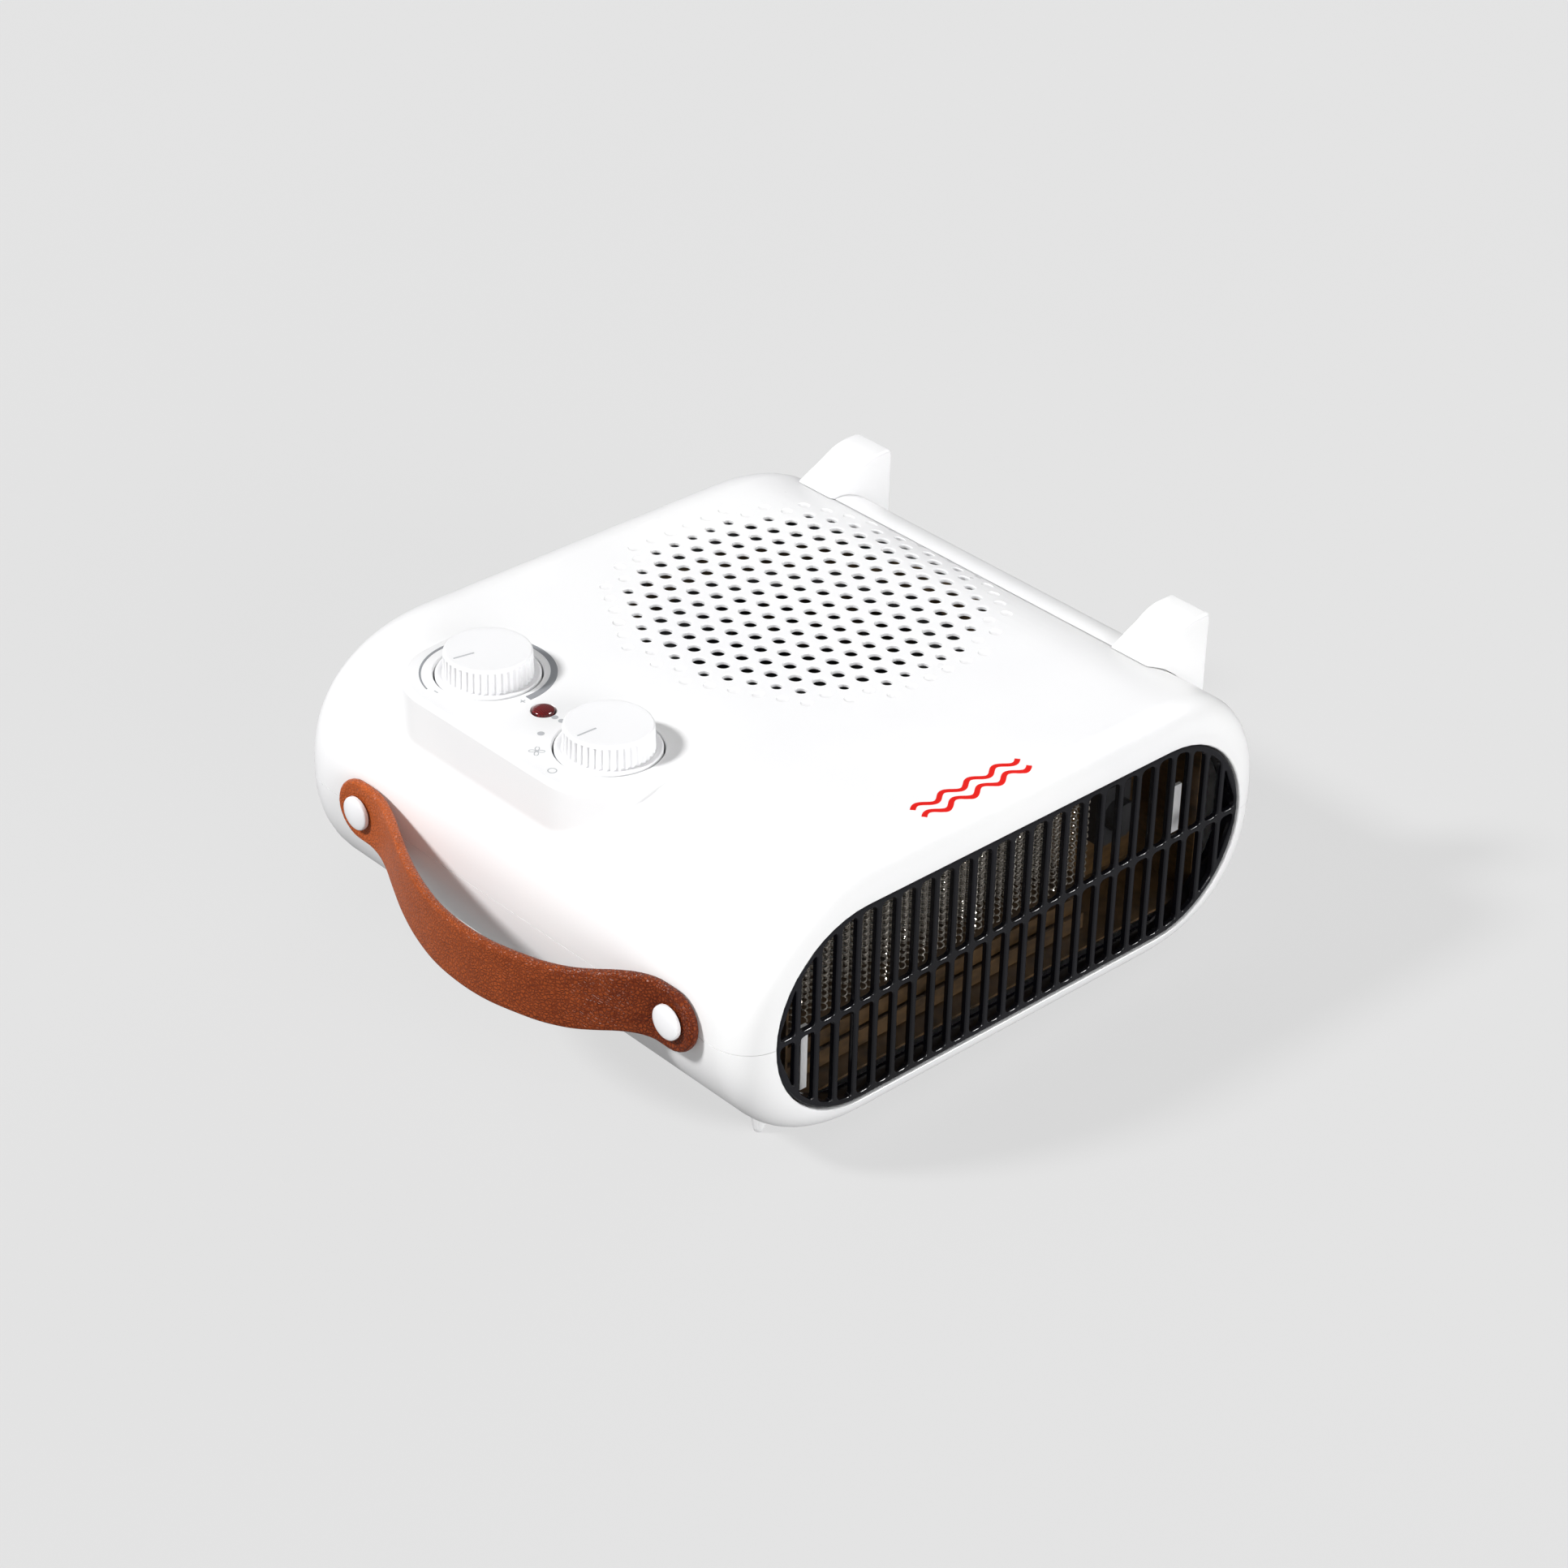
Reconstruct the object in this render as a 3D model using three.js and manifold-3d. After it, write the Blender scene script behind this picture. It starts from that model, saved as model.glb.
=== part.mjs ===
// Flat fan heater with a leather carrying strap, two knobs and a pair of side fins to stand on.
// Millimetres. X runs along the outlet (strap at -X, fins at +X), Y runs from the outlet (-Y)
// to the back, Z is up. The dimensions are laid out from the middle of the body, and the finished
// group is moved so that its origin is on the floor, under the middle of the whole outline.

import * as THREE from 'three';
import { mergeVertices } from 'three/addons/utils/BufferGeometryUtils.js';
import Module from 'manifold-3d';

const wasm = await Module();
wasm.setup();

// ---- driving dimensions ----
const GAP = 0.3;                 // clearance between touching pieces
const HALF_WIDTH = 128;          // body, half of its length along X
const HALF_STRAIGHT = 69;        // flat part of the section, half length
const END_RX = HALF_WIDTH - HALF_STRAIGHT;
const HALF_HEIGHT = 51.8;        // body, half of its thickness
const END_POWER = 2.24;          // how square the rounded sides are
const MID_Z = 58;                // middle of the section above the floor
const SEAM_Z = 55.2;              // where the two shells meet
const HALF_DEPTH = 123;          // body, half of its depth along Y
const FRONT_ROUND = 11;
const PLAN_ROUND = 16;           // front corners, seen from above
const REAR_ROUND = 20;
const WALL = 2.5;
const INTAKE_WALL = 1.5;
const TOP_Z = MID_Z + HALF_HEIGHT;
const ORIGIN = [-15.7, 1.5];     // middle of the whole outline, strap and fins included

const GRILLE_Z = 55.5;           // outlet centre height
const GRILLE_HALF = 73.4;        // outlet stadium, half of its straight length
const GRILLE_R = 39.4;
const GRILLE_FRONT = -122.4;
const GRILLE_THICK = 2.2;        // bars
const GRILLE_DEPTH = 8;          // rim around the bars
const GRILLE_SLOTS = 25;
const SLOT_PITCH = 8.97;
const SLOT_WIDTH = 6.4;
const CROSS_BAR = 2.4;
const GRILLE_RIM = 2.3;

const PANEL = { x0: -119.5, x1: -45, y0: -37.3, y1: 84.5, r: 26 };
const THERMO = [-89, 56.4];      // thermostat knob axis
const SELECT = [-89, -9.2];      // selector knob axis
const LAMP = [-91, 23.4];        // indicator axis
const KNOB_R = 16;
const KNOB_SKIRT_R = 19;
const KNOB_HOLE_R = 19.5;
const KNOB_RISE = 9.4;
const KNOB_FLUTES = 40;
const CUP_FLOOR_Z = TOP_Z - 5.8; // top of the floor under each knob
const SHAFT_R = 3;

const INTAKE = [31.5, 21.9];     // middle of the intake holes and the fan's axis
const INTAKE_PITCH = 9;
const INTAKE_ROW = 7.752;
const INTAKE_R = 65.3;
const INTAKE_HOLE_R = 2.4;

const FIN_PLANE_X = 129.6;       // face the heater stands on when upright
const FIN_FRONT = [-88, -69];
const FIN_REAR = [78.5, 97.5];

const STRAP_Z = MID_Z;
const STRAP_HALF = 12;           // half of the strap's width
const STRAP_THICK = 3.6;
const RIVET_Y = [-90, 78.5];
const RIVET_CAP_R = 6.45;
const STUD_R = 2;

const HEATER = { x: 101, y0: -114, y1: -78, z: 35.5, sheet: 1 };
const FAN_R = 58;
const MOTOR_R = 29;
const POSTS = [[-112, -68], [112, -68], [-104, 95], [108, 95]];

// ---- materials ----
function material(color, roughness, metalness = 0) {
  return new THREE.MeshStandardMaterial({ color, roughness, metalness });
}
const WHITE = () => material(0xf4f4f2, 0.35);
const BLACK = () => material(0x14161c, 0.2);
const MICA = () => material(0x7a5a34, 0.5);
const STEEL = () => material(0xb9bbbd, 0.35, 0.9);
const WIRE = () => material(0x9c8f80, 0.3, 0.9);
const DARK = () => material(0x2a2a2c, 0.6);

// ---- solids ----
function solid(geometry) {
  const bare = geometry.clone();
  bare.deleteAttribute('normal');
  bare.deleteAttribute('uv');
  const merged = mergeVertices(bare, 1e-4);
  return new wasm.Manifold(new wasm.Mesh({
    numProp: 3,
    vertProperties: new Float32Array(merged.attributes.position.array),
    triVerts: new Uint32Array(merged.index.array),
  }));
}

function surface(body) {
  const mesh = body.getMesh();
  const geometry = new THREE.BufferGeometry();
  const points = new Float32Array(mesh.numVert * 3);
  for (let i = 0; i < mesh.numVert; i += 1) {
    points.set(mesh.vertProperties.subarray(i * mesh.numProp, i * mesh.numProp + 3), i * 3);
  }
  geometry.setAttribute('position', new THREE.BufferAttribute(points, 3));
  geometry.setIndex(new THREE.BufferAttribute(new Uint32Array(mesh.triVerts), 1));
  return geometry;
}

function box(x0, x1, y0, y1, z0, z1) {
  const geometry = new THREE.BoxGeometry(x1 - x0, y1 - y0, z1 - z0);
  geometry.translate((x0 + x1) / 2, (y0 + y1) / 2, (z0 + z1) / 2);
  return solid(geometry);
}

function rod(x, y, z0, z1, r, sides = 24, rTop = r) {
  const geometry = new THREE.CylinderGeometry(rTop, r, z1 - z0, sides);
  geometry.rotateX(Math.PI / 2);
  geometry.translate(x, y, (z0 + z1) / 2);
  return solid(geometry);
}

function rodX(x0, x1, y, z, r, sides = 24) {
  const geometry = new THREE.CylinderGeometry(r, r, x1 - x0, sides);
  geometry.rotateZ(Math.PI / 2);
  geometry.translate((x0 + x1) / 2, y, z);
  return solid(geometry);
}

function rodY(y0, y1, x, z, r, sides = 24) {
  const geometry = new THREE.CylinderGeometry(r, r, y1 - y0, sides);
  geometry.translate(x, (y0 + y1) / 2, z);
  return solid(geometry);
}

function extrudeZ(shape, z0, z1, curveSegments = 8) {
  const depth = z1 - z0;
  const geometry = new THREE.ExtrudeGeometry(shape, { depth, bevelEnabled: false, curveSegments });
  geometry.translate(0, 0, z0);
  return solid(geometry);
}

// A shape drawn in X and Z, extruded from y0 to y1.
function extrudeY(shape, y0, y1, curveSegments = 8, bevel = 0, bevelSegments = 3) {
  const geometry = new THREE.ExtrudeGeometry(shape, {
    depth: y1 - y0 - 2 * bevel,
    curveSegments,
    bevelEnabled: bevel > 0,
    bevelThickness: bevel,
    bevelSize: bevel,
    bevelOffset: -bevel,
    bevelSegments,
  });
  geometry.rotateX(Math.PI / 2);
  geometry.translate(0, y1 - bevel, 0);
  return solid(geometry);
}

// A shape drawn in Y and Z, extruded from x0 to x1.
function extrudeX(shape, x0, x1, curveSegments = 8) {
  const depth = x1 - x0;
  const geometry = new THREE.ExtrudeGeometry(shape, { depth, bevelEnabled: false, curveSegments });
  geometry.rotateZ(Math.PI / 2);
  geometry.rotateY(Math.PI / 2);
  geometry.translate(x0, 0, 0);
  return solid(geometry);
}

function stadium(half, r, cx, cy, steps = 12) {
  const shape = new THREE.Shape();
  for (const side of [1, -1]) {
    for (let i = 0; i <= steps; i += 1) {
      const a = (side < 0 ? Math.PI : 0) + (i / steps - 0.5) * Math.PI;
      const x = cx + side * half + r * Math.cos(a);
      const y = cy + r * Math.sin(a);
      if (i === 0 && side === 1) {
        shape.moveTo(x, y);
      } else {
        shape.lineTo(x, y);
      }
    }
  }
  return shape;
}

function polygon(points) {
  const shape = new THREE.Shape();
  points.forEach(([x, y], i) => (i === 0 ? shape.moveTo(x, y) : shape.lineTo(x, y)));
  shape.closePath();
  return shape;
}

function roundedRect(x0, y0, x1, y1, r) {
  const shape = new THREE.Shape();
  shape.absarc(x1 - r, y0 + r, r, -Math.PI / 2, 0);
  shape.absarc(x1 - r, y1 - r, r, 0, Math.PI / 2);
  shape.absarc(x0 + r, y1 - r, r, Math.PI / 2, Math.PI);
  shape.absarc(x0 + r, y0 + r, r, Math.PI, Math.PI * 1.5);
  return shape;
}

function union(bodies) {
  return bodies.reduce((a, b) => a.add(b));
}

// Outline of a band of even width along a line of points, with mitred corners.
function ribbon(line, half) {
  const there = [];
  const back = [];
  line.forEach(([x, y], i) => {
    const [ax, ay] = line[Math.max(i - 1, 0)];
    const [bx, by] = line[Math.min(i + 1, line.length - 1)];
    const before = new THREE.Vector2(x - ax, y - ay).normalize();
    const after = new THREE.Vector2(bx - x, by - y).normalize();
    const along = before.clone().add(after).normalize();
    const turn = Math.max(along.dot(i === 0 ? after : before), 0.3);
    there.push([x - along.y * half / turn, y + along.x * half / turn]);
    back.push([x + along.y * half / turn, y - along.x * half / turn]);
  });
  return polygon([...there, ...back.reverse()]);
}

// ---- body ----
// Section of the body: flat top and bottom, full rounded sides, moved out by `grow`.
function bodySection(grow) {
  const steps = 8;
  const points = [];
  const quarter = [];
  for (let i = 0; i <= steps; i += 1) {
    const a = (i / steps) * Math.PI / 2;
    const x = HALF_STRAIGHT + (END_RX + grow) * Math.cos(a) ** (2 / END_POWER);
    const z = (HALF_HEIGHT + grow) * Math.sin(a) ** (2 / END_POWER);
    quarter.push([x, z]);
  }
  quarter.forEach(([x, z]) => points.push([x, MID_Z + z]));
  [...quarter].reverse().forEach(([x, z]) => points.push([-x, MID_Z + z]));
  quarter.slice(1).forEach(([x, z]) => points.push([-x, MID_Z - z]));
  [...quarter].reverse().slice(0, -1).forEach(([x, z]) => points.push([x, MID_Z - z]));
  return polygon(points);
}

// Body block moved out by `grow`: front edges rounded tightly, rear edges rounded wide.
function bodyBlock(grow) {
  const shape = bodySection(grow);
  const half = HALF_DEPTH + grow;
  const front = extrudeY(shape, -half, half + 60, 8, FRONT_ROUND + grow, 3);
  const rear = extrudeY(shape, -half - 60, half, 8, REAR_ROUND + grow, 3);
  const plan = new THREE.Shape();
  const side = HALF_WIDTH + grow;
  const r = PLAN_ROUND + grow;
  plan.moveTo(side, half);
  plan.lineTo(-side, half);
  plan.absarc(r - side, r - half, r, Math.PI, Math.PI * 1.5);
  plan.absarc(side - r, r - half, r, -Math.PI / 2, 0);
  return front.intersect(rear).intersect(extrudeZ(plan, -10, 130, 6));
}

function platform(grow) {
  const { x0, x1, y0, y1, r } = PANEL;
  const shape = roundedRect(x0 - grow, y0 - grow, x1 + grow, y1 + grow, r + grow);
  return extrudeZ(shape, MID_Z + 4, TOP_Z + grow, 6);
}

function below(z) {
  return box(-200, 200, -200, 200, -50, z);
}

function above(z) {
  return box(-200, 200, -200, 200, z, 200);
}

const outer = bodyBlock(0).add(platform(0));
const thinDisc = rod(INTAKE[0], INTAKE[1], TOP_Z - 14, TOP_Z, INTAKE_R + 4, 32);
const inner = bodyBlock(-WALL).add(platform(-WALL)).add(thinDisc.intersect(bodyBlock(-INTAKE_WALL)));
const outerClear = bodyBlock(GAP);
const skin = outer.subtract(inner);
const outletHole = extrudeY(
  stadium(GRILLE_HALF, GRILLE_R + 0.4, 0, GRILLE_Z, 12), -HALF_DEPTH - 5, -HALF_DEPTH + 9,
);

function intakeHoles() {
  const holes = [];
  for (let row = -9; row <= 9; row += 1) {
    for (let k = -20; k <= 20; k += 1) {
      const u = k / 2;
      const odd = Math.abs(row % 2) === 1;
      const half = Math.abs(k % 2) === 1;
      const r = Math.hypot(u * INTAKE_PITCH, row * INTAKE_ROW);
      if (odd === half && r <= INTAKE_R) {
        const size = r > INTAKE_R - 6 ? INTAKE_HOLE_R - 0.5 : INTAKE_HOLE_R;
        const x = INTAKE[0] + u * INTAKE_PITCH;
        const y = INTAKE[1] + row * INTAKE_ROW;
        holes.push(rod(x, y, TOP_Z - 16, TOP_Z + 4, size, 6));
      }
    }
  }
  return wasm.Manifold.compose(holes);
}

function upperShell() {
  let shell = skin.intersect(above(SEAM_Z + GAP / 2)).subtract(outletHole);
  for (const [x, y] of [THERMO, SELECT]) {
    shell = shell.add(rod(x, y, CUP_FLOOR_Z - 2, TOP_Z - 1, KNOB_HOLE_R + 2, 24));
    shell = shell.subtract(rod(x, y, CUP_FLOOR_Z, TOP_Z + 2, KNOB_HOLE_R, 32));
    shell = shell.subtract(rod(x, y, CUP_FLOOR_Z - 4, TOP_Z, SHAFT_R + 0.5, 16));
  }
  shell = shell.subtract(rod(LAMP[0], LAMP[1], TOP_Z - 6, TOP_Z + 2, 4.3, 16));
  for (const [x, y] of POSTS) {
    const post = rod(x, y, SEAM_Z + GAP / 2, TOP_Z, 4.5, 8).intersect(inner);
    shell = shell.add(post).subtract(rod(x, y, SEAM_Z - 2, SEAM_Z + 20, 2.3, 8));
  }
  for (const y of RIVET_Y) {
    shell = shell.subtract(rodX(-HALF_WIDTH - 3, -HALF_WIDTH + 6, y, STRAP_Z, STUD_R + GAP, 10));
  }
  return shell.subtract(intakeHoles());
}

function lowerShell() {
  let shell = skin.intersect(below(SEAM_Z - GAP / 2)).subtract(outletHole);
  for (const [x, y] of POSTS) {
    const post = rod(x, y, MID_Z - HALF_HEIGHT, SEAM_Z - GAP / 2, 6, 10).intersect(outer);
    shell = shell.add(post);
    shell = shell.subtract(rod(x, y, 0, 40, 4.4, 10)).subtract(rod(x, y, 30, SEAM_Z + 2, 2.3, 8));
  }
  return shell.subtract(rodY(HALF_DEPTH - 8, HALF_DEPTH + 4, -85, 40, 7.4, 16));
}

// ---- outlet grille ----
function outletGrille() {
  const y0 = GRILLE_FRONT;
  const y1 = GRILLE_FRONT + GRILLE_THICK;
  const plate = extrudeY(stadium(GRILLE_HALF, GRILLE_R, 0, GRILLE_Z, 12), y0, y0 + GRILLE_DEPTH);
  const room = GRILLE_R - GRILLE_RIM;
  const back = extrudeY(stadium(GRILLE_HALF, room + 0.4, 0, GRILLE_Z, 12), y1, y0 + GRILLE_DEPTH + 2);
  const reach = (x) => {
    const past = Math.min(Math.max(0, Math.abs(x) - GRILLE_HALF), room);
    return Math.sqrt(room * room - past * past);
  };
  const slots = [];
  for (let i = 0; i < GRILLE_SLOTS; i += 1) {
    const x = (i - (GRILLE_SLOTS - 1) / 2) * SLOT_PITCH;
    const w = SLOT_WIDTH / 2;
    for (const side of [1, -1]) {
      const foot = (dx, rise) => [x + dx, GRILLE_Z + side * (CROSS_BAR / 2 + rise)];
      const head = (dx, drop) => {
        const rise = Math.max(reach(x + dx) - drop, CROSS_BAR / 2 + 3);
        return [x + dx, GRILLE_Z + side * rise];
      };
      slots.push(extrudeY(polygon([
        foot(-w, 1.6), foot(1.4 - w, 0), foot(w - 1.4, 0), foot(w, 1.6),
        head(w, 1.4), head(w - 1.4, 0), head(1.4 - w, 0), head(-w, 1.4),
      ]), y0 - 2, y1 + 2));
    }
  }
  return plate.subtract(back).subtract(wasm.Manifold.compose(slots));
}

// ---- stand ----
// A closed outline from its upper half, the same again below the seam height.
function mirrored(upper) {
  return polygon([...upper, ...upper.map(([x, z]) => [x, 2 * MID_Z - z]).reverse()]);
}

function finProfile() {
  const upper = [
    [94, 100], [95, 104], [103, 108.4], [110, 111.6], [114.6, 114.2], [119, 115.6],
    [122.5, 116], [128.6, 116], [FIN_PLANE_X, 115],
  ];
  return mirrored(upper);
}

function fin([y0, y1]) {
  return extrudeY(finProfile(), y0, y1).subtract(outerClear);
}

function standPlate() {
  const shape = mirrored([
    [97, 98], [98, 104.5], [104, 104.6], [110, 102.7], [113, 101.1], [116, 98.8],
    [122, 93.5], [127, 87], [FIN_PLANE_X, 80],
  ]);
  return extrudeY(shape, FIN_FRONT[1] + GAP, FIN_REAR[0] - GAP).subtract(outerClear);
}

function cornerFoot(y) {
  return rod(-97, y, 0, 18, 1.8, 16, 5.2).subtract(outerClear);
}

// ---- strap ----
const STRAP_PATH = [
  [-131.9, -102.5], [-131.9, -97], [-131.9, -91], [-131.9, -85.5], [-132.1, -82], [-134, -77],
  [-138, -71.6], [-143.7, -66], [-149, -60], [-154, -51], [-157.6, -40], [-160.3, -28],
  [-161, -15], [-159.6, 0], [-155.4, 16], [-149.6, 31], [-142.6, 45.5], [-136.8, 57],
  [-133.6, 65], [-132.1, 71.5], [-131.9, 75], [-131.9, 80], [-131.9, 86], [-131.9, 92],
];

function strap() {
  const curve = new THREE.CatmullRomCurve3(STRAP_PATH.map(([x, y]) => new THREE.Vector3(x, y, 0)));
  const steps = 32;
  const line = [];
  for (let i = 0; i <= steps; i += 1) {
    const p = curve.getPoint(i / steps);
    const t = curve.getTangent(i / steps);
    line.push([p.x + t.y * STRAP_THICK / 2, p.y - t.x * STRAP_THICK / 2]);
  }
  const band = extrudeZ(ribbon(line, STRAP_THICK / 2), STRAP_Z - STRAP_HALF, STRAP_Z + STRAP_HALF);
  const mid = (RIVET_Y[0] + RIVET_Y[1]) / 2;
  const half = (RIVET_Y[1] - RIVET_Y[0]) / 2;
  const outline = extrudeX(stadium(half, STRAP_HALF, mid, STRAP_Z, 8), -180, -120);
  let body = band.intersect(outline);
  for (const y of RIVET_Y) {
    body = body.subtract(rodX(-140, -120, y, STRAP_Z, STUD_R + GAP, 10));
  }
  return body;
}

function rivet(y) {
  const x = -131.9 - GAP;
  const profile = [
    [0, 0], [STUD_R, 0], [STUD_R, 9.5], [RIVET_CAP_R, 9.5], [RIVET_CAP_R, 10.8],
    [5.6, 11.9], [2.8, 12.4], [0, 12.5],
  ].map(([r, h]) => new THREE.Vector2(r, h));
  const geometry = new THREE.LatheGeometry(profile, 16);
  geometry.rotateZ(Math.PI / 2);
  geometry.translate(x + 9.5, y, STRAP_Z);
  return solid(geometry);
}

function rivetWasher(y) {
  const x = -HALF_WIDTH + WALL + 0.9;
  const bore = rodX(x - 1, x + 3, y, STRAP_Z, STUD_R + GAP, 10);
  return rodX(x, x + 1.4, y, STRAP_Z, 6, 14).subtract(bore);
}

// ---- controls ----
function flutedShape(cx, cy, r, depth, flutes) {
  const points = [];
  for (let i = 0; i < flutes * 2; i += 1) {
    const a = (i / flutes) * Math.PI;
    const q = i % 2 === 0 ? r : r - depth;
    points.push([cx + q * Math.cos(a), cy + q * Math.sin(a)]);
  }
  return polygon(points);
}

function knob([x, y]) {
  const skirt = rod(x, y, CUP_FLOOR_Z + 0.7, TOP_Z + 0.5, KNOB_SKIRT_R, 32);
  const grip = extrudeZ(flutedShape(x, y, KNOB_R, 0.5, KNOB_FLUTES), TOP_Z - 1, TOP_Z + KNOB_RISE);
  const bore = rod(x, y, CUP_FLOOR_Z - 2, TOP_Z + 4, SHAFT_R + GAP, 16);
  return union([skirt, grip]).subtract(bore);
}

function controlShaft([x, y]) {
  return rod(x, y, CUP_FLOOR_Z - 12, TOP_Z + 3.7, SHAFT_R, 16);
}

function controlBody([x, y], w, d, h) {
  const top = CUP_FLOOR_Z - 2 - GAP;
  const bore = rod(x, y, CUP_FLOOR_Z - 13, top + 2, SHAFT_R + 0.5, 16);
  return box(x - w / 2, x + w / 2, y - d / 2, y + d / 2, top - h, top).subtract(bore);
}

function selectorSwitch() {
  const [x, y] = SELECT;
  const top = CUP_FLOOR_Z - 2 - GAP;
  const tabs = [-9, 0, 9].map((dx) => (
    box(x + dx - 2.4, x + dx + 2.4, y - 0.4, y + 0.4, top - 27, top - 19)
  ));
  return union([controlBody(SELECT, 31, 31, 20), ...tabs]);
}

function thermostat() {
  const [x, y] = THERMO;
  const top = CUP_FLOOR_Z - 2 - GAP;
  const blade = box(x - 5, x + 5, y + 12, y + 34, top - 12, top - 11);
  return union([controlBody(THERMO, 24, 28, 17), blade]);
}

function indicatorLens() {
  const [x, y] = LAMP;
  const flange = rod(x, y, TOP_Z - WALL - GAP - 1.2, TOP_Z - WALL - GAP, 5.6, 16);
  const stem = rod(x, y, TOP_Z - 4, TOP_Z + 0.4, 4, 16);
  return union([flange, stem, rod(x, y, TOP_Z + 0.4, TOP_Z + 1.3, 4, 16, 2.2)]);
}

function indicatorLamp() {
  const [x, y] = LAMP;
  return rod(x, y, TOP_Z - 20, TOP_Z - WALL - 2 * GAP - 1.3, 4.2, 16);
}

// ---- heater ----
function heaterFrame() {
  const { x, y0, y1, z, sheet } = HEATER;
  const outside = box(-x, x, y0, y1, GRILLE_Z - z, GRILLE_Z + z);
  const inside = box(-x + sheet, x - sheet, y0 - 2, y1 + 2, GRILLE_Z - z + sheet, GRILLE_Z + z - sheet);
  return outside.subtract(inside);
}

const micaSpan = HEATER.x - HEATER.sheet - GAP;

function micaShelf(z) {
  return box(-micaSpan, 52, -108, -84, z - 0.5, z + 0.5);
}

// Wire strung up and down between two shelves.
function wire(y) {
  const z0 = GRILLE_Z - 12.7;
  const z1 = GRILLE_Z + 27.7;
  const line = [];
  for (let i = 0; i <= 24; i += 1) {
    const x = -97 + i * 6.15;
    const ends = i % 2 === 0 ? [z0, z1] : [z1, z0];
    line.push([x, ends[0]], [x, ends[1]]);
  }
  return extrudeY(ribbon(line, 0.4), y - 0.4, y + 0.4);
}

function micaLouvre(index) {
  const z0 = GRILLE_Z - 33.5 + index * 6.2;
  const y0 = -106 + index * 2.4;
  return box(-micaSpan, 52, y0, y0 + 1, z0, z0 + 6.4);
}

function thermalCutout() {
  const base = box(70, 84, -96, -88.5, GRILLE_Z - 12, GRILLE_Z + 12);
  return base.add(rodY(-101, -95.8, 77, GRILLE_Z, 6.5, 20));
}

// ---- fan ----
function impeller() {
  const [x, y] = INTAKE;
  const parts = [rod(x, y, 54, 56, FAN_R, 28)];
  for (let i = 0; i < 20; i += 1) {
    const blade = new THREE.BoxGeometry(13, 1.6, 34);
    blade.rotateZ(0.6);
    blade.translate(49.5, 0, 72);
    blade.rotateZ((i / 20) * Math.PI * 2);
    blade.translate(x, y, 0);
    parts.push(solid(blade));
  }
  const ring = rod(x, y, 88, 90, FAN_R, 28).subtract(rod(x, y, 87, 91, 44, 28));
  parts.push(ring, rod(x, y, 52, 68, 9, 16));
  return union(parts).subtract(rod(x, y, 50, 64, 2.8, 16));
}

function motor() {
  const [x, y] = INTAKE;
  const can = rod(x, y, 18, 44, MOTOR_R, 24);
  const boss = rod(x, y, 43, 48, 9, 12);
  return union([can, boss]).subtract(rod(x, y, 22, 50, 2.9, 16));
}

function motorBracket() {
  const [x, y] = INTAKE;
  const legs = [0, 1, 2, 3].map((i) => {
    const a = Math.PI / 4 + i * Math.PI / 2;
    const floor = MID_Z - HALF_HEIGHT + WALL + GAP;
    return rod(x + 34 * Math.cos(a), y + 34 * Math.sin(a), floor, 17, 4, 8);
  });
  return union([rod(x, y, 15.5, 17.7, 39, 24), ...legs]);
}

// Curved wall that leads the fan's air to the heater.
function airGuide() {
  const line = [[-99, -76], [-74, -62], [-50, -42]];
  for (let deg = 205; deg >= -15; deg -= 20) {
    const a = (deg / 180) * Math.PI;
    line.push([INTAKE[0] + 67 * Math.cos(a), INTAKE[1] + 67 * Math.sin(a)]);
  }
  line.push([98.5, -20], [99, -76]);
  return extrudeZ(ribbon(line, 0.9), 20, 96);
}

// ---- small hardware ----
function shellScrew([x, y]) {
  return rod(x, y, 36.5, 39.7, 3.8, 10).add(rod(x, y, 39, 74, 1.9, 8));
}

function cordInlet() {
  const x = -85;
  const z = 40;
  const flange = rodY(HALF_DEPTH + GAP, HALF_DEPTH + 3, x, z, 9, 16);
  const sleeve = rodY(HALF_DEPTH - 9, HALF_DEPTH + 1, x, z, 7, 16);
  return union([flange, sleeve]).subtract(rodY(HALF_DEPTH - 12, HALF_DEPTH + 6, x, z, 3.8, 12));
}

function terminalBlock() {
  const base = box(-80, -48, 92, 106, 12, 26);
  const wells = [-74, -64, -54].map((x) => rod(x, 99, 19, 28, 2.4, 8));
  return base.subtract(union(wells));
}

// ---- assembly ----
const group = new THREE.Group();
group.position.set(-ORIGIN[0], -ORIGIN[1], 0);

function place(name, body, look) {
  const mesh = new THREE.Mesh(surface(body), look);
  mesh.name = name;
  group.add(mesh);
}

place('upper_shell', upperShell(), WHITE());
place('lower_shell', lowerShell(), WHITE());
place('outlet_grille', outletGrille(), BLACK());
place('stand_plate', standPlate(), WHITE());
place('stand_fin_front', fin(FIN_FRONT), WHITE());
place('stand_fin_rear', fin(FIN_REAR), WHITE());
place('corner_foot_front', cornerFoot(-97.5), WHITE());
place('corner_foot_rear', cornerFoot(92), WHITE());
place('strap', strap(), material(0xa04a24, 0.55));
RIVET_Y.forEach((y, i) => {
  const end = ['front', 'rear'][i];
  place(`strap_rivet_${end}`, rivet(y), WHITE());
  place(`rivet_washer_${end}`, rivetWasher(y), STEEL());
});
place('thermostat_knob', knob(THERMO), WHITE());
place('thermostat_shaft', controlShaft(THERMO), STEEL());
place('thermostat_body', thermostat(), material(0xd8d2c4, 0.6));
place('selector_knob', knob(SELECT), WHITE());
place('selector_shaft', controlShaft(SELECT), DARK());
place('selector_switch', selectorSwitch(), DARK());
place('indicator_lens', indicatorLens(), material(0x5a0a10, 0.15));
place('indicator_lamp', indicatorLamp(), material(0xd9d4c8, 0.4));
place('heater_frame', heaterFrame(), STEEL());
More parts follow.
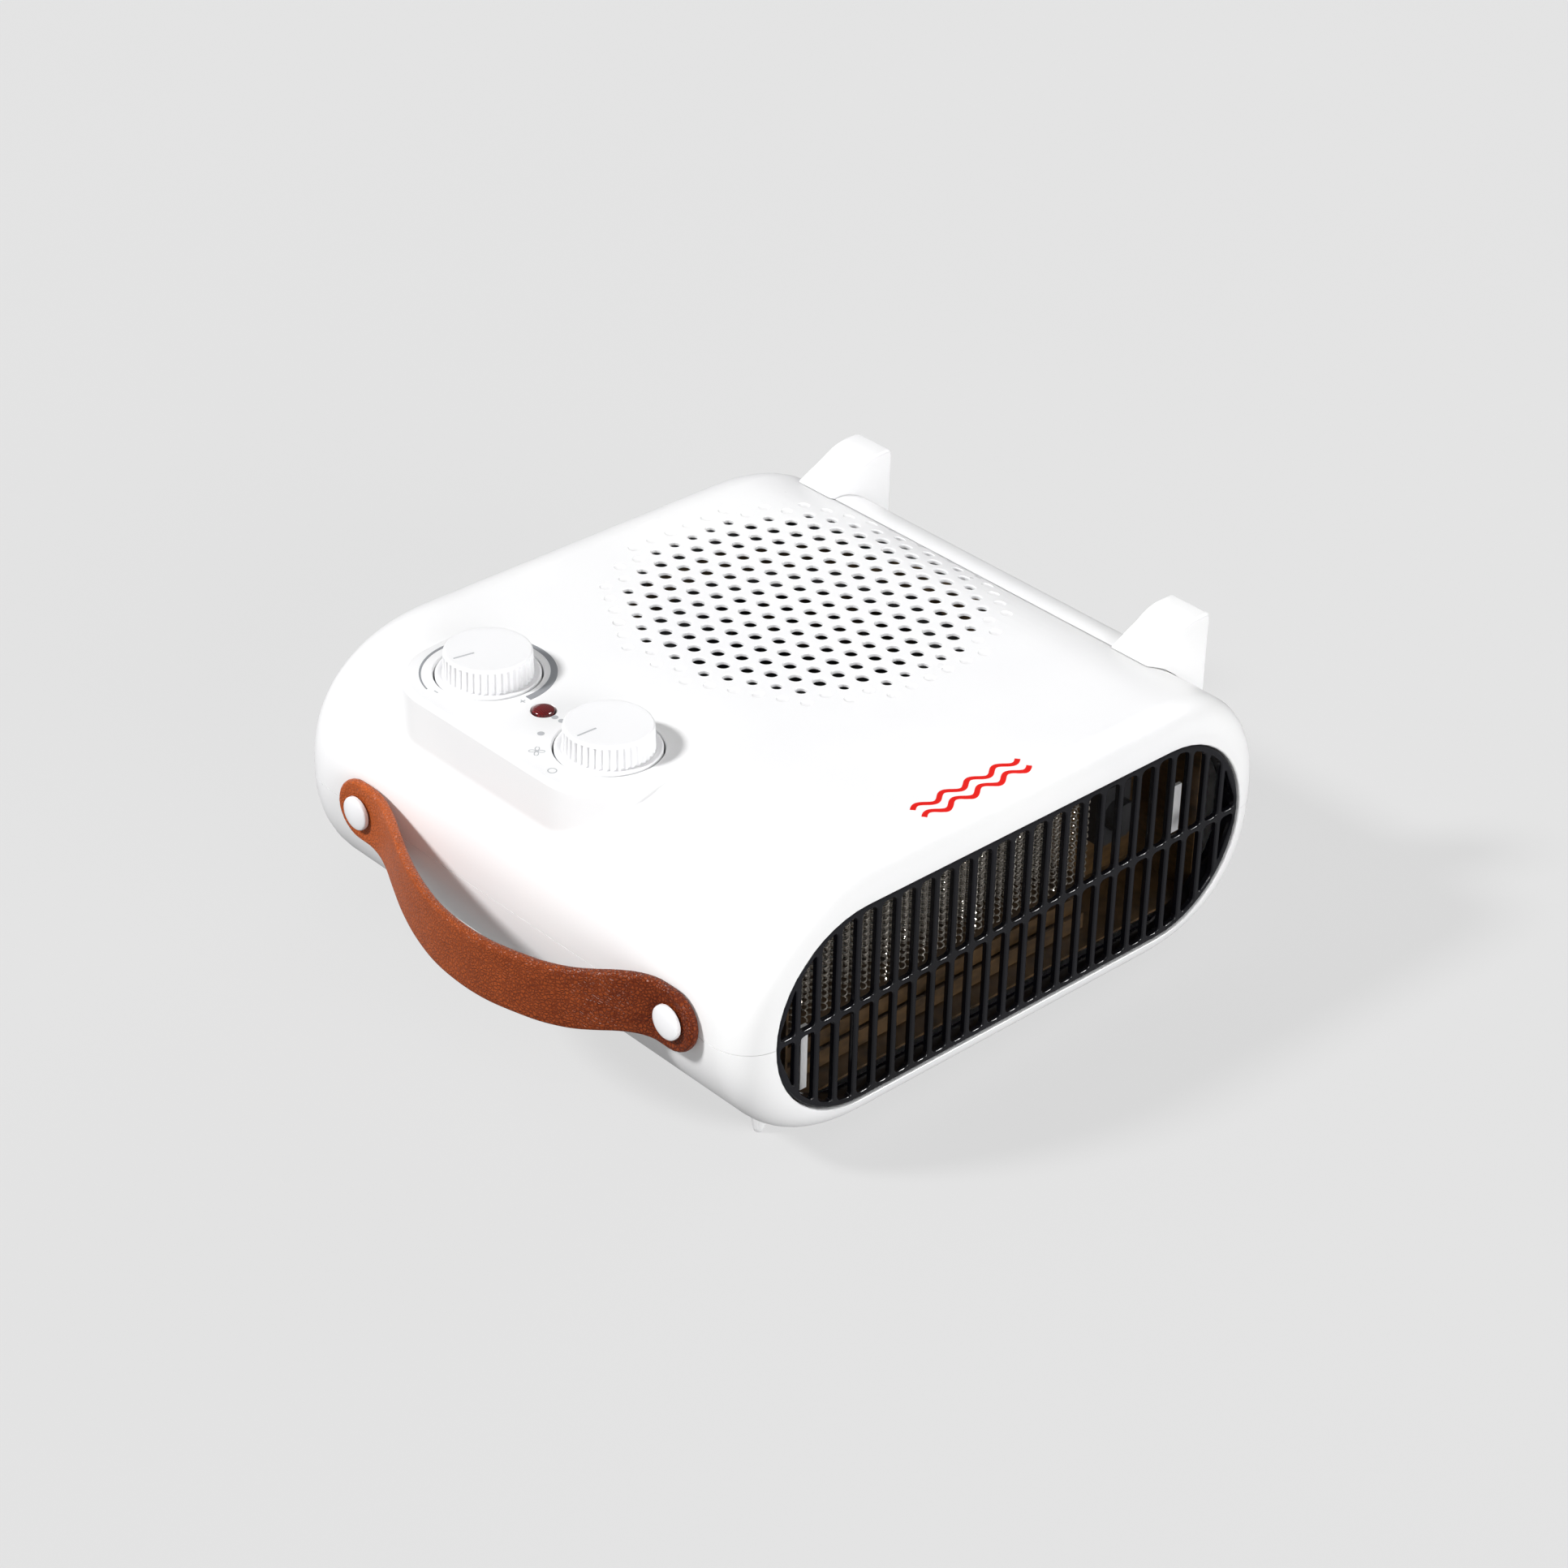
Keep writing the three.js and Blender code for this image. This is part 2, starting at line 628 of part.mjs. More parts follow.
place('mica_shelf_low', micaShelf(GRILLE_Z - 14), MICA());
place('mica_shelf_high', micaShelf(GRILLE_Z + 29), MICA());
[0, 1, 2].forEach((i) => place(`mica_louvre_${i + 1}`, micaLouvre(i), MICA()));
place('mica_end_plate', box(54, micaSpan, -84, -83, GRILLE_Z - 33, GRILLE_Z + 33), MICA());
[-104, -98, -92].forEach((y, i) => place(`heating_wire_${i + 1}`, wire(y), WIRE()));
place('end_strip_right', box(90.5, 95.5, -110, -108.6, GRILLE_Z - 8, GRILLE_Z + 12), STEEL());
place('end_strip_left', box(-92, -89, -112, -110.6, GRILLE_Z - 33, GRILLE_Z - 7), STEEL());
place('thermal_cutout', thermalCutout(), DARK());
place('thermal_fuse', rodX(57, 68, -88, GRILLE_Z + 16, 2, 12), STEEL());
place('air_guide', airGuide(), material(0xe6e6e2, 0.6));
place('fan_impeller', impeller(), DARK());
place('motor_shaft', rod(INTAKE[0], INTAKE[1], 24, 62, 2.5, 16), STEEL());
place('motor', motor(), STEEL());
place('motor_bracket', motorBracket(), STEEL());
place('terminal_block', terminalBlock(), material(0xe9e4d6, 0.6));
place('cord_inlet', cordInlet(), WHITE());
POSTS.forEach((post, i) => place(`shell_screw_${i + 1}`, shellScrew(post), STEEL()));

export default group;
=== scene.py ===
import math

import bmesh
import bpy
from mathutils import Matrix, Vector


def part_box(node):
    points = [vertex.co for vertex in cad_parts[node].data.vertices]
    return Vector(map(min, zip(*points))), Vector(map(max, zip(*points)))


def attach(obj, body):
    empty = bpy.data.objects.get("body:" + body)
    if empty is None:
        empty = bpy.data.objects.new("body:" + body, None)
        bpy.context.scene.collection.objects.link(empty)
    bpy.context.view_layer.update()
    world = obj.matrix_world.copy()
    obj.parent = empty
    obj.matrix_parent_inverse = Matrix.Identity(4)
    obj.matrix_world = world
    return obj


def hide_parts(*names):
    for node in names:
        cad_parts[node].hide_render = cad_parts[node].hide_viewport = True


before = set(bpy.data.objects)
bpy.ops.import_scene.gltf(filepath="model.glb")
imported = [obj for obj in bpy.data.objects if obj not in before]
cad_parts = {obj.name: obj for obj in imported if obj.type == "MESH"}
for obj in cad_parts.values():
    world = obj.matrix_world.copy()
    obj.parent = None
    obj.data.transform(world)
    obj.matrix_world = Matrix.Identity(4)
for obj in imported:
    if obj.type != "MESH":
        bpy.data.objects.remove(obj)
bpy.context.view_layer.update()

# Everything is drawn in millimetres round the middle of the body, as the CAD is, and moved into
# the frame at the end. The outlet grille's own box says where that middle is.
grille_low, grille_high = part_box("outlet_grille")
GRILLE_FRONT = -122.4
ORIGIN = Vector(((grille_low.x + grille_high.x) / 2, grille_low.y - GRILLE_FRONT / 1000, 0))

# ---- sizes ----
HALF_STRAIGHT = 69
END_RX = 59
HALF_HEIGHT = 51.8
END_POWER = 2.24
MID_Z = 58
SEAM_Z = 55.2
HALF_DEPTH = 123
FRONT_ROUND = 11
PLAN_ROUND = 16
REAR_ROUND = 20
WALL = 2.5
INTAKE_WALL = 1.5
TOP_Z = MID_Z + HALF_HEIGHT
SEAM = 0.09
FAR = 200
SOFT_TURN = (0.25, 0.6, 1.0, 1.57)

GRILLE_Z = 55.5
GRILLE_HALF = 73.4
GRILLE_R = 39.4
GRILLE_DEPTH = 8
GRILLE_RIM = 2.3
BAR_DEPTH = 2.2
BAR_EDGE = 0.75
SLOTS = 25
SLOT_PITCH = 8.97
SLOT_WIDTH = 6.4
CROSS_BAR = 2.4

PANEL = (-119.5, -45, -37.3, 84.5)
PANEL_R = 26
THERMO = (-89, 56.4)
SELECT = (-89, -9.2)
LAMP = (-91, 23.4)
KNOB_SKIRT_R = 18.9
KNOB_HOLE_R = 19.6
KNOB_RISE = 9.4
KNOB_FLUTES = 40
FLUTE_POINTS = 10
CUP_FLOOR_Z = TOP_Z - 5.8
CUP_WALL = 2
CUP_EDGE = 0.6
SHAFT_HOLE_R = 3.6
KNOB_BORE_R = 3.3
LAMP_HOLE_R = 4.35
LAMP_RIM_R = 4.8
LENS_R = 4.0
LENS_FLANGE_R = 5.6

INTAKE = (31.5, 21.9)
INTAKE_PITCH = 9
INTAKE_ROW = 7.752
INTAKE_R = 65.3
DIMPLE_R = 74.5
HOLE_R = 2.55
LIP = 0.5
POCKET_R = INTAKE_R + 4

FIN_PLANE_X = 129.6
FIN_FRONT = (-88, -69)
FIN_REAR = (78.5, 97.5)
FIN_EDGE = 1.3
STAND_GAP = 0.3
LEG_X = -97
LEG_Y = (("front", -97.5), ("rear", 92))
STRAP_HALF = 12
STRAP_THICK = 3.6
STRAP_EDGE = 1.15
STRAP_SINK = 0.2
STRAP_CROWN = 0.22
STRAP_INSETS = (STRAP_HALF - 0.4, 8.0, 5.0, 2.6)
RIVET_DENT = 0.45
RIVET_HOLE_R = 2.4
STRAP_HOLE_R = 2.3
RIVET_CAP_R = 6.45
RIVET_Y = (-90, 78.5)
POSTS = ((-112, -68), (112, -68), (-104, 95), (108, 95))
UPPER_POST_R = 4.5
LOWER_POST_R = 6
POST_COVER = 1.2
SCREW_HOLE_R = 2.3
SCREW_HEAD_R = 4.9
SCREW_SEAT_R = 4.4
INLET_X, INLET_Z = -85, 40
INLET_HOLE_R = 7.4

COIL_Y = (-104, -98, -92)
COIL_RUNS = 50
COIL_FIRST_X = -98.5
COIL_PITCH = 3.075
COIL_LOW_Z = GRILLE_Z - 12.6
COIL_HIGH_Z = GRILLE_Z + 27.6
COIL_TURNS = 14
TURN_POINTS = 6
COIL_R = 0.95
WIRE_R = 0.3


# ---- meshes ----
def add_object(name, verts, faces):
    mesh = bpy.data.meshes.new(name)
    mesh.from_pydata([tuple(v) for v in verts], [], faces)
    work = bmesh.new()
    work.from_mesh(mesh)
    bmesh.ops.recalc_face_normals(work, faces=work.faces)
    work.to_mesh(mesh)
    work.free()
    thing = bpy.data.objects.new(name, mesh)
    bpy.context.scene.collection.objects.link(thing)
    return thing


def side_faces(levels, count):
    """Four-cornered faces between each ring of count points and the next ring."""
    faces = []
    for r in range(levels - 1):
        for i in range(count):
            j = (i + 1) % count
            faces.append((r * count + i, r * count + j, (r + 1) * count + j, (r + 1) * count + i))
    return faces


def loft(rings):
    """A closed skin through rings of as many points each, flat at both ends."""
    count = len(rings[0])
    verts = [p for ring in rings for p in ring]
    faces = side_faces(len(rings), count)
    faces.append(tuple(reversed(range(count))))
    faces.append(tuple((len(rings) - 1) * count + i for i in range(count)))
    return verts, faces


def torus(rings):
    """A skin through rings that closes on itself."""
    count = len(rings[0])
    verts = [p for ring in rings for p in ring]
    last = (len(rings) - 1) * count
    faces = side_faces(len(rings), count)
    faces += [(last + i, last + (i + 1) % count, (i + 1) % count, i) for i in range(count)]
    return verts, faces


def gather(parts):
    """Several parts as one."""
    verts, faces = [], []
    for v, f in parts:
        start = len(verts)
        verts += v
        faces += [tuple(i + start for i in face) for face in f]
    return verts, faces


def circle(x, y, z, r, sides):
    steps = [2 * math.pi * i / sides for i in range(sides)]
    return [(x + r * math.cos(a), y + r * math.sin(a), z) for a in steps]


def lathe(x, y, profile, sides):
    """A turned solid on Z: profile is (radius, height) from one end to the other."""
    return loft([circle(x, y, z, r, sides) for r, z in profile])


def to_x(part):
    """Turns a solid on Z so that its axis runs along -X."""
    verts, faces = part
    return [(-z, y, x) for x, y, z in verts], faces


def to_y(part):
    """Turns a solid on Z so that its axis runs along +Y."""
    verts, faces = part
    return [(x, z, -y) for x, y, z in verts], faces


def shift(part, dx, dy, dz):
    verts, faces = part
    return [(x + dx, y + dy, z + dz) for x, y, z in verts], faces


def apply_modifiers(thing):
    bpy.context.view_layer.update()
    graph = bpy.context.evaluated_depsgraph_get()
    made = bpy.data.meshes.new_from_object(thing.evaluated_get(graph))
    thing.modifiers.clear()
    old = thing.data
    thing.data = made
    bpy.data.meshes.remove(old)


def boolean(thing, part, operation):
    tool = part if isinstance(part, bpy.types.Object) else add_object("tool", *part)
    step = thing.modifiers.new("step", "BOOLEAN")
    step.operation = operation
    step.solver = "MANIFOLD"
    step.object = tool
    apply_modifiers(thing)
    mesh = tool.data
    bpy.data.objects.remove(tool)
    bpy.data.meshes.remove(mesh)
    if not thing.data.polygons:
        raise RuntimeError(f"{thing.name} is empty after {operation}")
    return thing


def cut(thing, part):
    return boolean(thing, part, "DIFFERENCE")


def join(thing, part):
    return boolean(thing, part, "UNION")


def offset_loop(points, distance):
    """A closed plane outline moved outward by a distance, with mitred corners."""
    area = sum(
        points[i - 1][0] * points[i][1] - points[i][0] * points[i - 1][1] for i in range(len(points))
    )
    side = 1 if area > 0 else -1
    moved = []
    for i, point in enumerate(points):
        here = Vector(point)
        before = (here - Vector(points[i - 1])).normalized()
        after = (Vector(points[(i + 1) % len(points)]) - here).normalized()
        along = (before + after).normalized()
        out = Vector((along.y, -along.x)) * side
        moved.append(tuple(here + out * distance / max(along.dot(after), 0.3)))
    return moved


def fillet_corners(points, radii, steps=5):
    """An outline with each corner rounded by its own radius."""
    made = []
    for i, (point, radius) in enumerate(zip(points, radii)):
        here = Vector(point)
        before = Vector(points[i - 1]) - here
        after = Vector(points[(i + 1) % len(points)]) - here
        reach = min(radius, before.length * 0.49, after.length * 0.49)
        a, b = here + before.normalized() * reach, here + after.normalized() * reach
        for k in range(steps + 1):
            t = k / steps
            made.append(tuple(a * (1 - t) ** 2 + here * 2 * t * (1 - t) + b * t * t))
    return made


def prism_y(outline, y0, y1, edge=0.0, steps=4):
    """An outline in X and Z made solid from y0 to y1; edge rounds its two rims."""
    levels = [(y0, 0.0), (y1, 0.0)]
    if edge:
        turn = [math.pi / 2 * k / steps for k in range(steps + 1)]
        levels = [(y0 + edge * (1 - math.cos(a)), -edge * (1 - math.sin(a))) for a in turn]
        levels += [(y1 - edge * (1 - math.cos(a)), -edge * (1 - math.sin(a))) for a in reversed(turn)]
    return loft([[(x, y, z) for x, z in offset_loop(outline, d)] for y, d in levels])


def prism_z(outline, z0, z1):
    """An outline in X and Y made solid from z0 to z1."""
    return loft([[(x, y, z) for x, y in outline] for z in (z0, z1)])


def block(x0, x1, y0, y1, z0, z1):
    return loft([[(x0, y0, z), (x1, y0, z), (x1, y1, z), (x0, y1, z)] for z in (z0, z1)])


def tube(path, radius, sides=8):
    """A round wire along a line of points."""
    points = [Vector(p) for p in path]
    rings = []
    up = Vector((0.37, 0.19, 0.91))
    for i, here in enumerate(points):
        along = (points[min(i + 1, len(points) - 1)] - points[max(i - 1, 0)]).normalized()
        a = along.cross(up).normalized()
        up = a.cross(along)
        rings.append([
            tuple(here + (a * math.cos(t) + up * math.sin(t)) * radius)
            for t in (2 * math.pi * k / sides for k in range(sides))
        ])
    return loft(rings)


# ---- materials ----
def new_material(name, color, roughness, metallic=0.0, **sockets):
    made = bpy.data.materials.new(name)
    made.use_nodes = True
    shader = made.node_tree.nodes["Principled BSDF"]
    shader.inputs["Base Color"].default_value = (*color, 1)
    shader.inputs["Roughness"].default_value = roughness
    shader.inputs["Metallic"].default_value = metallic
    for key, value in sockets.items():
        shader.inputs[key.replace("_", " ")].default_value = value
    return made


def place_node(made, kind, **values):
    node = made.node_tree.nodes.new(kind)
    for key, value in values.items():
        if key in node.inputs:
            node.inputs[key].default_value = value
        else:
            setattr(node, key, value)
    return node


def object_space(made, stretch=(1, 1, 1)):
    place = place_node(made, "ShaderNodeTexCoord")
    scale = place_node(made, "ShaderNodeMapping")
    scale.inputs["Scale"].default_value = stretch
    made.node_tree.links.new(place.outputs["Object"], scale.inputs["Vector"])
    return scale.outputs["Vector"]


def noise(made, space, scale, detail=3.0, roughness=0.5):
    node = place_node(made, "ShaderNodeTexNoise", Scale=scale, Detail=detail, Roughness=roughness)
    made.node_tree.links.new(space, node.inputs["Vector"])
    return node.outputs["Fac"]


def vary_color(made, fac, low, high, start=0.3, end=0.7):
    ramp = place_node(made, "ShaderNodeValToRGB")
    ramp.color_ramp.elements[0].position = start
    ramp.color_ramp.elements[0].color = (*low, 1)
    ramp.color_ramp.elements[1].position = end
    ramp.color_ramp.elements[1].color = (*high, 1)
    links = made.node_tree.links
    links.new(fac, ramp.inputs["Fac"])
    links.new(ramp.outputs["Color"], made.node_tree.nodes["Principled BSDF"].inputs["Base Color"])


def vary_roughness(made, fac, low, high):
    node = place_node(made, "ShaderNodeMapRange")
    node.inputs["To Min"].default_value = low
    node.inputs["To Max"].default_value = high
    links = made.node_tree.links
    links.new(fac, node.inputs["Value"])
    links.new(node.outputs["Result"], made.node_tree.nodes["Principled BSDF"].inputs["Roughness"])


def add_bump(made, fac, distance, strength=1.0, before=None):
    node = place_node(made, "ShaderNodeBump")
    node.inputs["Distance"].default_value = distance
    node.inputs["Strength"].default_value = strength
    links = made.node_tree.links
    links.new(fac, node.inputs["Height"])
    if before is not None:
        links.new(before, node.inputs["Normal"])
    links.new(node.outputs["Normal"], made.node_tree.nodes["Principled BSDF"].inputs["Normal"])
    return node.outputs["Normal"]


def plastic(name, low, high, rough, grain=900, depth=0.00003, **sockets):
    """Moulded plastic: a faint shift of tone, a fine spark-eroded grain and uneven gloss."""
    made = new_material(name, high, rough, **sockets)
    space = object_space(made)
    vary_color(made, noise(made, space, 14, 2), low, high)
    vary_roughness(made, noise(made, space, 60, 4), rough - 0.06, rough + 0.07)
    add_bump(made, noise(made, space, grain, 3), depth, 0.35)
    return made


def metal(name, low, high, rough, stretch=(1, 1, 1), depth=0.00002, metallic=1.0):
    """Metal with drawn or rolled streaks, closest together along the axis with the largest stretch."""
    made = new_material(name, high, rough, metallic)
    space = object_space(made, stretch)
    streak = noise(made, space, 400, 5, 0.6)
    vary_color(made, streak, low, high)
    vary_roughness(made, noise(made, space, 120, 4), rough - 0.08, rough + 0.12)
    add_bump(made, streak, depth, 0.5)
    return made


WHITE = plastic("white_plastic", (0.86, 0.86, 0.87), (0.90, 0.90, 0.90), 0.30)
TRIM = plastic("white_trim", (0.84, 0.84, 0.85), (0.88, 0.88, 0.88), 0.38)
KNOB = plastic("knob_plastic", (0.83, 0.83, 0.84), (0.87, 0.87, 0.88), 0.34)
CAP = plastic("cap_plastic", (0.86, 0.86, 0.88), (0.91, 0.91, 0.92), 0.22, Coat_Weight=0.4)
BLACK = plastic(
    "black_plastic", (0.0035, 0.0035, 0.005), (0.006, 0.006, 0.009), 0.2,
    grain=700, depth=0.00002, Specular_IOR_Level=0.4,
)
DARK = plastic("dark_plastic", (0.015, 0.015, 0.016), (0.03, 0.03, 0.032), 0.5)
INNER = plastic("inner_plastic", (0.09, 0.058, 0.03), (0.14, 0.095, 0.052), 0.5)
PALE = plastic("ceramic_white", (0.62, 0.59, 0.52), (0.74, 0.71, 0.64), 0.55)
LAMP_HOLDER = plastic("lamp_holder", (0.55, 0.52, 0.46), (0.68, 0.65, 0.58), 0.35)
STEEL = metal("steel", (0.42, 0.42, 0.43), (0.66, 0.66, 0.68), 0.32, (1, 1, 8))
BRIGHT = metal("bright_steel", (0.80, 0.80, 0.81), (0.92, 0.92, 0.93), 0.3, (8, 8, 1), metallic=0.3)
COIL = metal("heating_wire", (0.36, 0.33, 0.29), (0.62, 0.58, 0.52), 0.14, metallic=0.6)
GREY_INK = plastic("grey_ink", (0.25, 0.26, 0.28), (0.30, 0.31, 0.33), 0.5)
PALE_INK = plastic("pale_ink", (0.42, 0.43, 0.45), (0.48, 0.49, 0.51), 0.5)
RED_INK = plastic("red_ink", (0.66, 0.008, 0.005), (0.72, 0.012, 0.008), 0.45, Specular_IOR_Level=0.1)


def mica_material():
    """Pressed mica: small flakes over brown clouds."""
    made = new_material("mica", (0.05, 0.03, 0.015), 0.38)
    space = object_space(made, (1, 1, 2.2))
    flakes = place_node(made, "ShaderNodeTexVoronoi", Scale=240.0)
    made.node_tree.links.new(space, flakes.inputs["Vector"])
    clouds = noise(made, space, 45, 4, 0.6)
    mix = place_node(made, "ShaderNodeMath", operation="MULTIPLY_ADD")
    made.node_tree.links.new(flakes.outputs["Distance"], mix.inputs[0])
    mix.inputs[1].default_value = 0.35
    made.node_tree.links.new(clouds, mix.inputs[2])
    vary_color(made, mix.outputs[0], (0.02, 0.012, 0.005), (0.085, 0.048, 0.019), 0.35, 0.85)
    vary_roughness(made, clouds, 0.28, 0.55)
    add_bump(made, mix.outputs[0], 0.0001, 0.4)
    return made


def leather_material():
    """Tan leather with a fine pebble grain, darker in its creases, with painted shade that darkens it toward
    the front.
    """
    made = new_material("leather", (0.34, 0.07, 0.018), 0.42, Specular_IOR_Level=0.15)
    links = made.node_tree.links
    space = object_space(made)
    cells = place_node(made, "ShaderNodeTexVoronoi", Scale=760.0, feature="DISTANCE_TO_EDGE")
    warp = noise(made, space, 300, 2)
    bent = place_node(made, "ShaderNodeVectorMath", operation="MULTIPLY_ADD")
    links.new(warp, bent.inputs[0])
    bent.inputs[1].default_value = (0.0012, 0.0012, 0.0012)
    links.new(space, bent.inputs[2])
    links.new(bent.outputs[0], cells.inputs["Vector"])
    pebble = place_node(made, "ShaderNodeMapRange")
    pebble.inputs["From Max"].default_value = 0.28
    links.new(cells.outputs["Distance"], pebble.inputs["Value"])
    tone = place_node(made, "ShaderNodeMath", operation="MULTIPLY")
    links.new(noise(made, space, 120, 5, 0.65), tone.inputs[0])
    tone.inputs[1].default_value = 0.3
    blend = place_node(made, "ShaderNodeMath", operation="MULTIPLY_ADD")
    links.new(pebble.outputs["Result"], blend.inputs[0])
    blend.inputs[1].default_value = 0.2
    links.new(tone.outputs[0], blend.inputs[2])
    # painted shade: the tone shifts along Y, in metres, darkest at the front end of the strap, standing in
    # for the shade that falls there
    split = place_node(made, "ShaderNodeSeparateXYZ")
    links.new(space, split.inputs["Vector"])
    painted_shade_ramp = place_node(made, "ShaderNodeMapRange")
    painted_shade_ramp.inputs["From Min"].default_value = -0.09
    painted_shade_ramp.inputs["From Max"].default_value = 0.06
    painted_shade_ramp.inputs["To Min"].default_value = -0.06
    painted_shade_ramp.inputs["To Max"].default_value = 0.42
    links.new(split.outputs["Y"], painted_shade_ramp.inputs["Value"])
    # the grain's tone with the painted shade added
    tone_and_painted_shade = place_node(made, "ShaderNodeMath", operation="ADD")
    links.new(blend.outputs[0], tone_and_painted_shade.inputs[0])
    links.new(painted_shade_ramp.outputs["Result"], tone_and_painted_shade.inputs[1])
    vary_color(made, tone_and_painted_shade.outputs[0], (0.09, 0.013, 0.004), (0.52, 0.115, 0.028), 0.1, 0.8)
    vary_roughness(made, blend.outputs[0], 0.28, 0.4)
    fine = add_bump(made, noise(made, space, 2600, 2), 0.00005, 0.25)
    add_bump(made, pebble.outputs["Result"], 0.0003, 0.8, fine)
    return made


def lens_material():
    """Dark red plastic with fine ridges."""
    made = new_material("red_lens", (0.12, 0.003, 0.005), 0.1, Coat_Weight=0.2, Coat_Roughness=0.03)
    space = object_space(made)
    ridges = place_node(made, "ShaderNodeTexWave", Scale=420.0, Distortion=0.4)
    made.node_tree.links.new(space, ridges.inputs["Vector"])
    vary_color(made, ridges.outputs["Fac"], (0.06, 0.002, 0.003), (0.20, 0.006, 0.009))
    vary_roughness(made, noise(made, space, 200, 2), 0.06, 0.16)
    add_bump(made, ridges.outputs["Fac"], 0.00005, 0.3)
    return made


MICA = mica_material()
LEATHER = leather_material()
LENS = lens_material()


# ---- finishing a piece ----
def finish_piece(thing, look, body="housing", replaced=(), angle=38, weighted=False):
    """Moves a piece from the drawing into the frame, gives it its look and body, and hides the CAD parts
    that it replaces.
    """
    thing.data.transform(Matrix.Translation(ORIGIN) @ Matrix.Scale(0.001, 4))
    thing.data.shade_smooth()
    thing.data.set_sharp_from_angle(angle=math.radians(angle))
    if weighted:
        normals = thing.modifiers.new("normals", "WEIGHTED_NORMAL")
        normals.keep_sharp = True
    thing.data.materials.clear()
    thing.data.materials.append(look)
    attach(thing, body)
    if replaced:
        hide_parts(*replaced)
    return thing


def piece(name, part, look, body="housing", replaced=(), angle=38, weighted=False):
    return finish_piece(add_object(name, *part), look, body, replaced, angle, weighted)


# ---- body ----
def section(steps=22):
    """Points of the body's section in X and Z, flat above and below, with the way out at each one."""
    quarter = []
    for i in range(steps + 1):
        a = i / steps * math.pi / 2
        cx, sz = max(math.cos(a), 0) ** (2 / END_POWER), math.sin(a) ** (2 / END_POWER)
        way = Vector((cx ** (END_POWER - 1) / END_RX, sz ** (END_POWER - 1) / HALF_HEIGHT)).normalized()
        quarter.append((HALF_STRAIGHT + END_RX * cx, HALF_HEIGHT * sz, way.x, way.y))
    loop = [(x, MID_Z + z, nx, nz) for x, z, nx, nz in quarter]
    loop += [(-x, MID_Z + z, -nx, nz) for x, z, nx, nz in reversed(quarter)]
    loop += [(-x, MID_Z - z, -nx, -nz) for x, z, nx, nz in quarter[1:]]
    loop += [(x, MID_Z - z, nx, -nz) for x, z, nx, nz in list(reversed(quarter))[:-1]]
    return loop


def top_z(x):
    """Height of the body's top at x."""
    past = min(max(abs(x) - HALF_STRAIGHT, 0) / END_RX, 1)
    return MID_Z + HALF_HEIGHT * (1 - past ** END_POWER) ** (1 / END_POWER)


def body_block(grow, steps=9):
    """The body moved out by grow; its front corners are rounder at the sides than above."""
    half = HALF_DEPTH + grow
    loop = section()

    def ring(sign, a):
        made = []
        for x, z, nx, nz in loop:
            radius = FRONT_ROUND + (PLAN_ROUND - FRONT_ROUND) * nx * nx if sign < 0 else REAR_ROUND
            radius += grow
            inset = grow - radius * (1 - math.sin(a))
            made.append((x + nx * inset, sign * (half - radius * (1 - math.cos(a))), z + nz * inset))
        return made

    turn = [math.pi / 2 * k / steps for k in range(steps + 1)]
    return loft([ring(-1, a) for a in turn] + [ring(1, a) for a in reversed(turn)])


def panel_points(corner_steps=14, side_steps=12):
    """Points round the raised panel's outline, with the way out at each one."""
    x0, x1, y0, y1 = PANEL
    r = PANEL_R
    spots = []
    corners = ((x1 - r, y0 + r, -90), (x1 - r, y1 - r, 0), (x0 + r, y1 - r, 90), (x0 + r, y0 + r, 180))
    for cx, cy, start in corners:
        for k in range(corner_steps + 1):
            a = math.radians(start + 90 * k / corner_steps)
            spots.append((cx + r * math.cos(a), cy + r * math.sin(a), math.cos(a), math.sin(a)))
        if start in (0, 180):
            y, way = (y1, 1) if start == 0 else (y0, -1)
            ends = (x1 - r, x0 + r) if start == 0 else (x0 + r, x1 - r)
            for k in range(1, side_steps):
                spots.append((ends[0] + (ends[1] - ends[0]) * k / side_steps, y, 0, way))
    return spots


def panel_block():
    """The raised panel: rounded along its top, with a soft fillet where it meets the body."""
    spots = panel_points()
    drop = [max(TOP_Z - top_z(x), 0) for x, *_ in spots]
    rounds = [min(2.0, h * 0.5) for h in drop]
    rings = []
    for k in range(7):
        a = math.pi / 2 * k / 6
        rings.append([
            (x - nx * r * (1 - math.sin(a)), y - ny * r * (1 - math.sin(a)), TOP_Z - r * (1 - math.cos(a)))
            for (x, y, nx, ny), r in zip(spots, rounds)
        ])
    for k in range(8):
        t = k / 7
        ring = []
        for (x, y, nx, ny), h in zip(spots, drop):
            rise, run = min(3.5, h * 0.45), min(3.5, h * 1.2)
            foot = top_z(x)
            far = top_z(x + nx * run)
            out = run * t * t
            z = (foot + rise) * (1 - t) ** 2 + 2 * foot * t * (1 - t) + (far - 0.02) * t * t
            ring.append((x + nx * out, y + ny * out, z - (0.03 if h < 0.01 else 0) * (k + 1)))
        rings.append(ring)
    rings.append([(x, y, 74) for x, y, nx, ny in spots])
    return loft(rings)


def panel_hollow():
    """The space under the raised panel."""
    points = [(x - nx * WALL, y - ny * WALL) for x, y, nx, ny in panel_points()]
    return loft([[(x, y, z) for x, y in points] for z in (60, TOP_Z - WALL)])


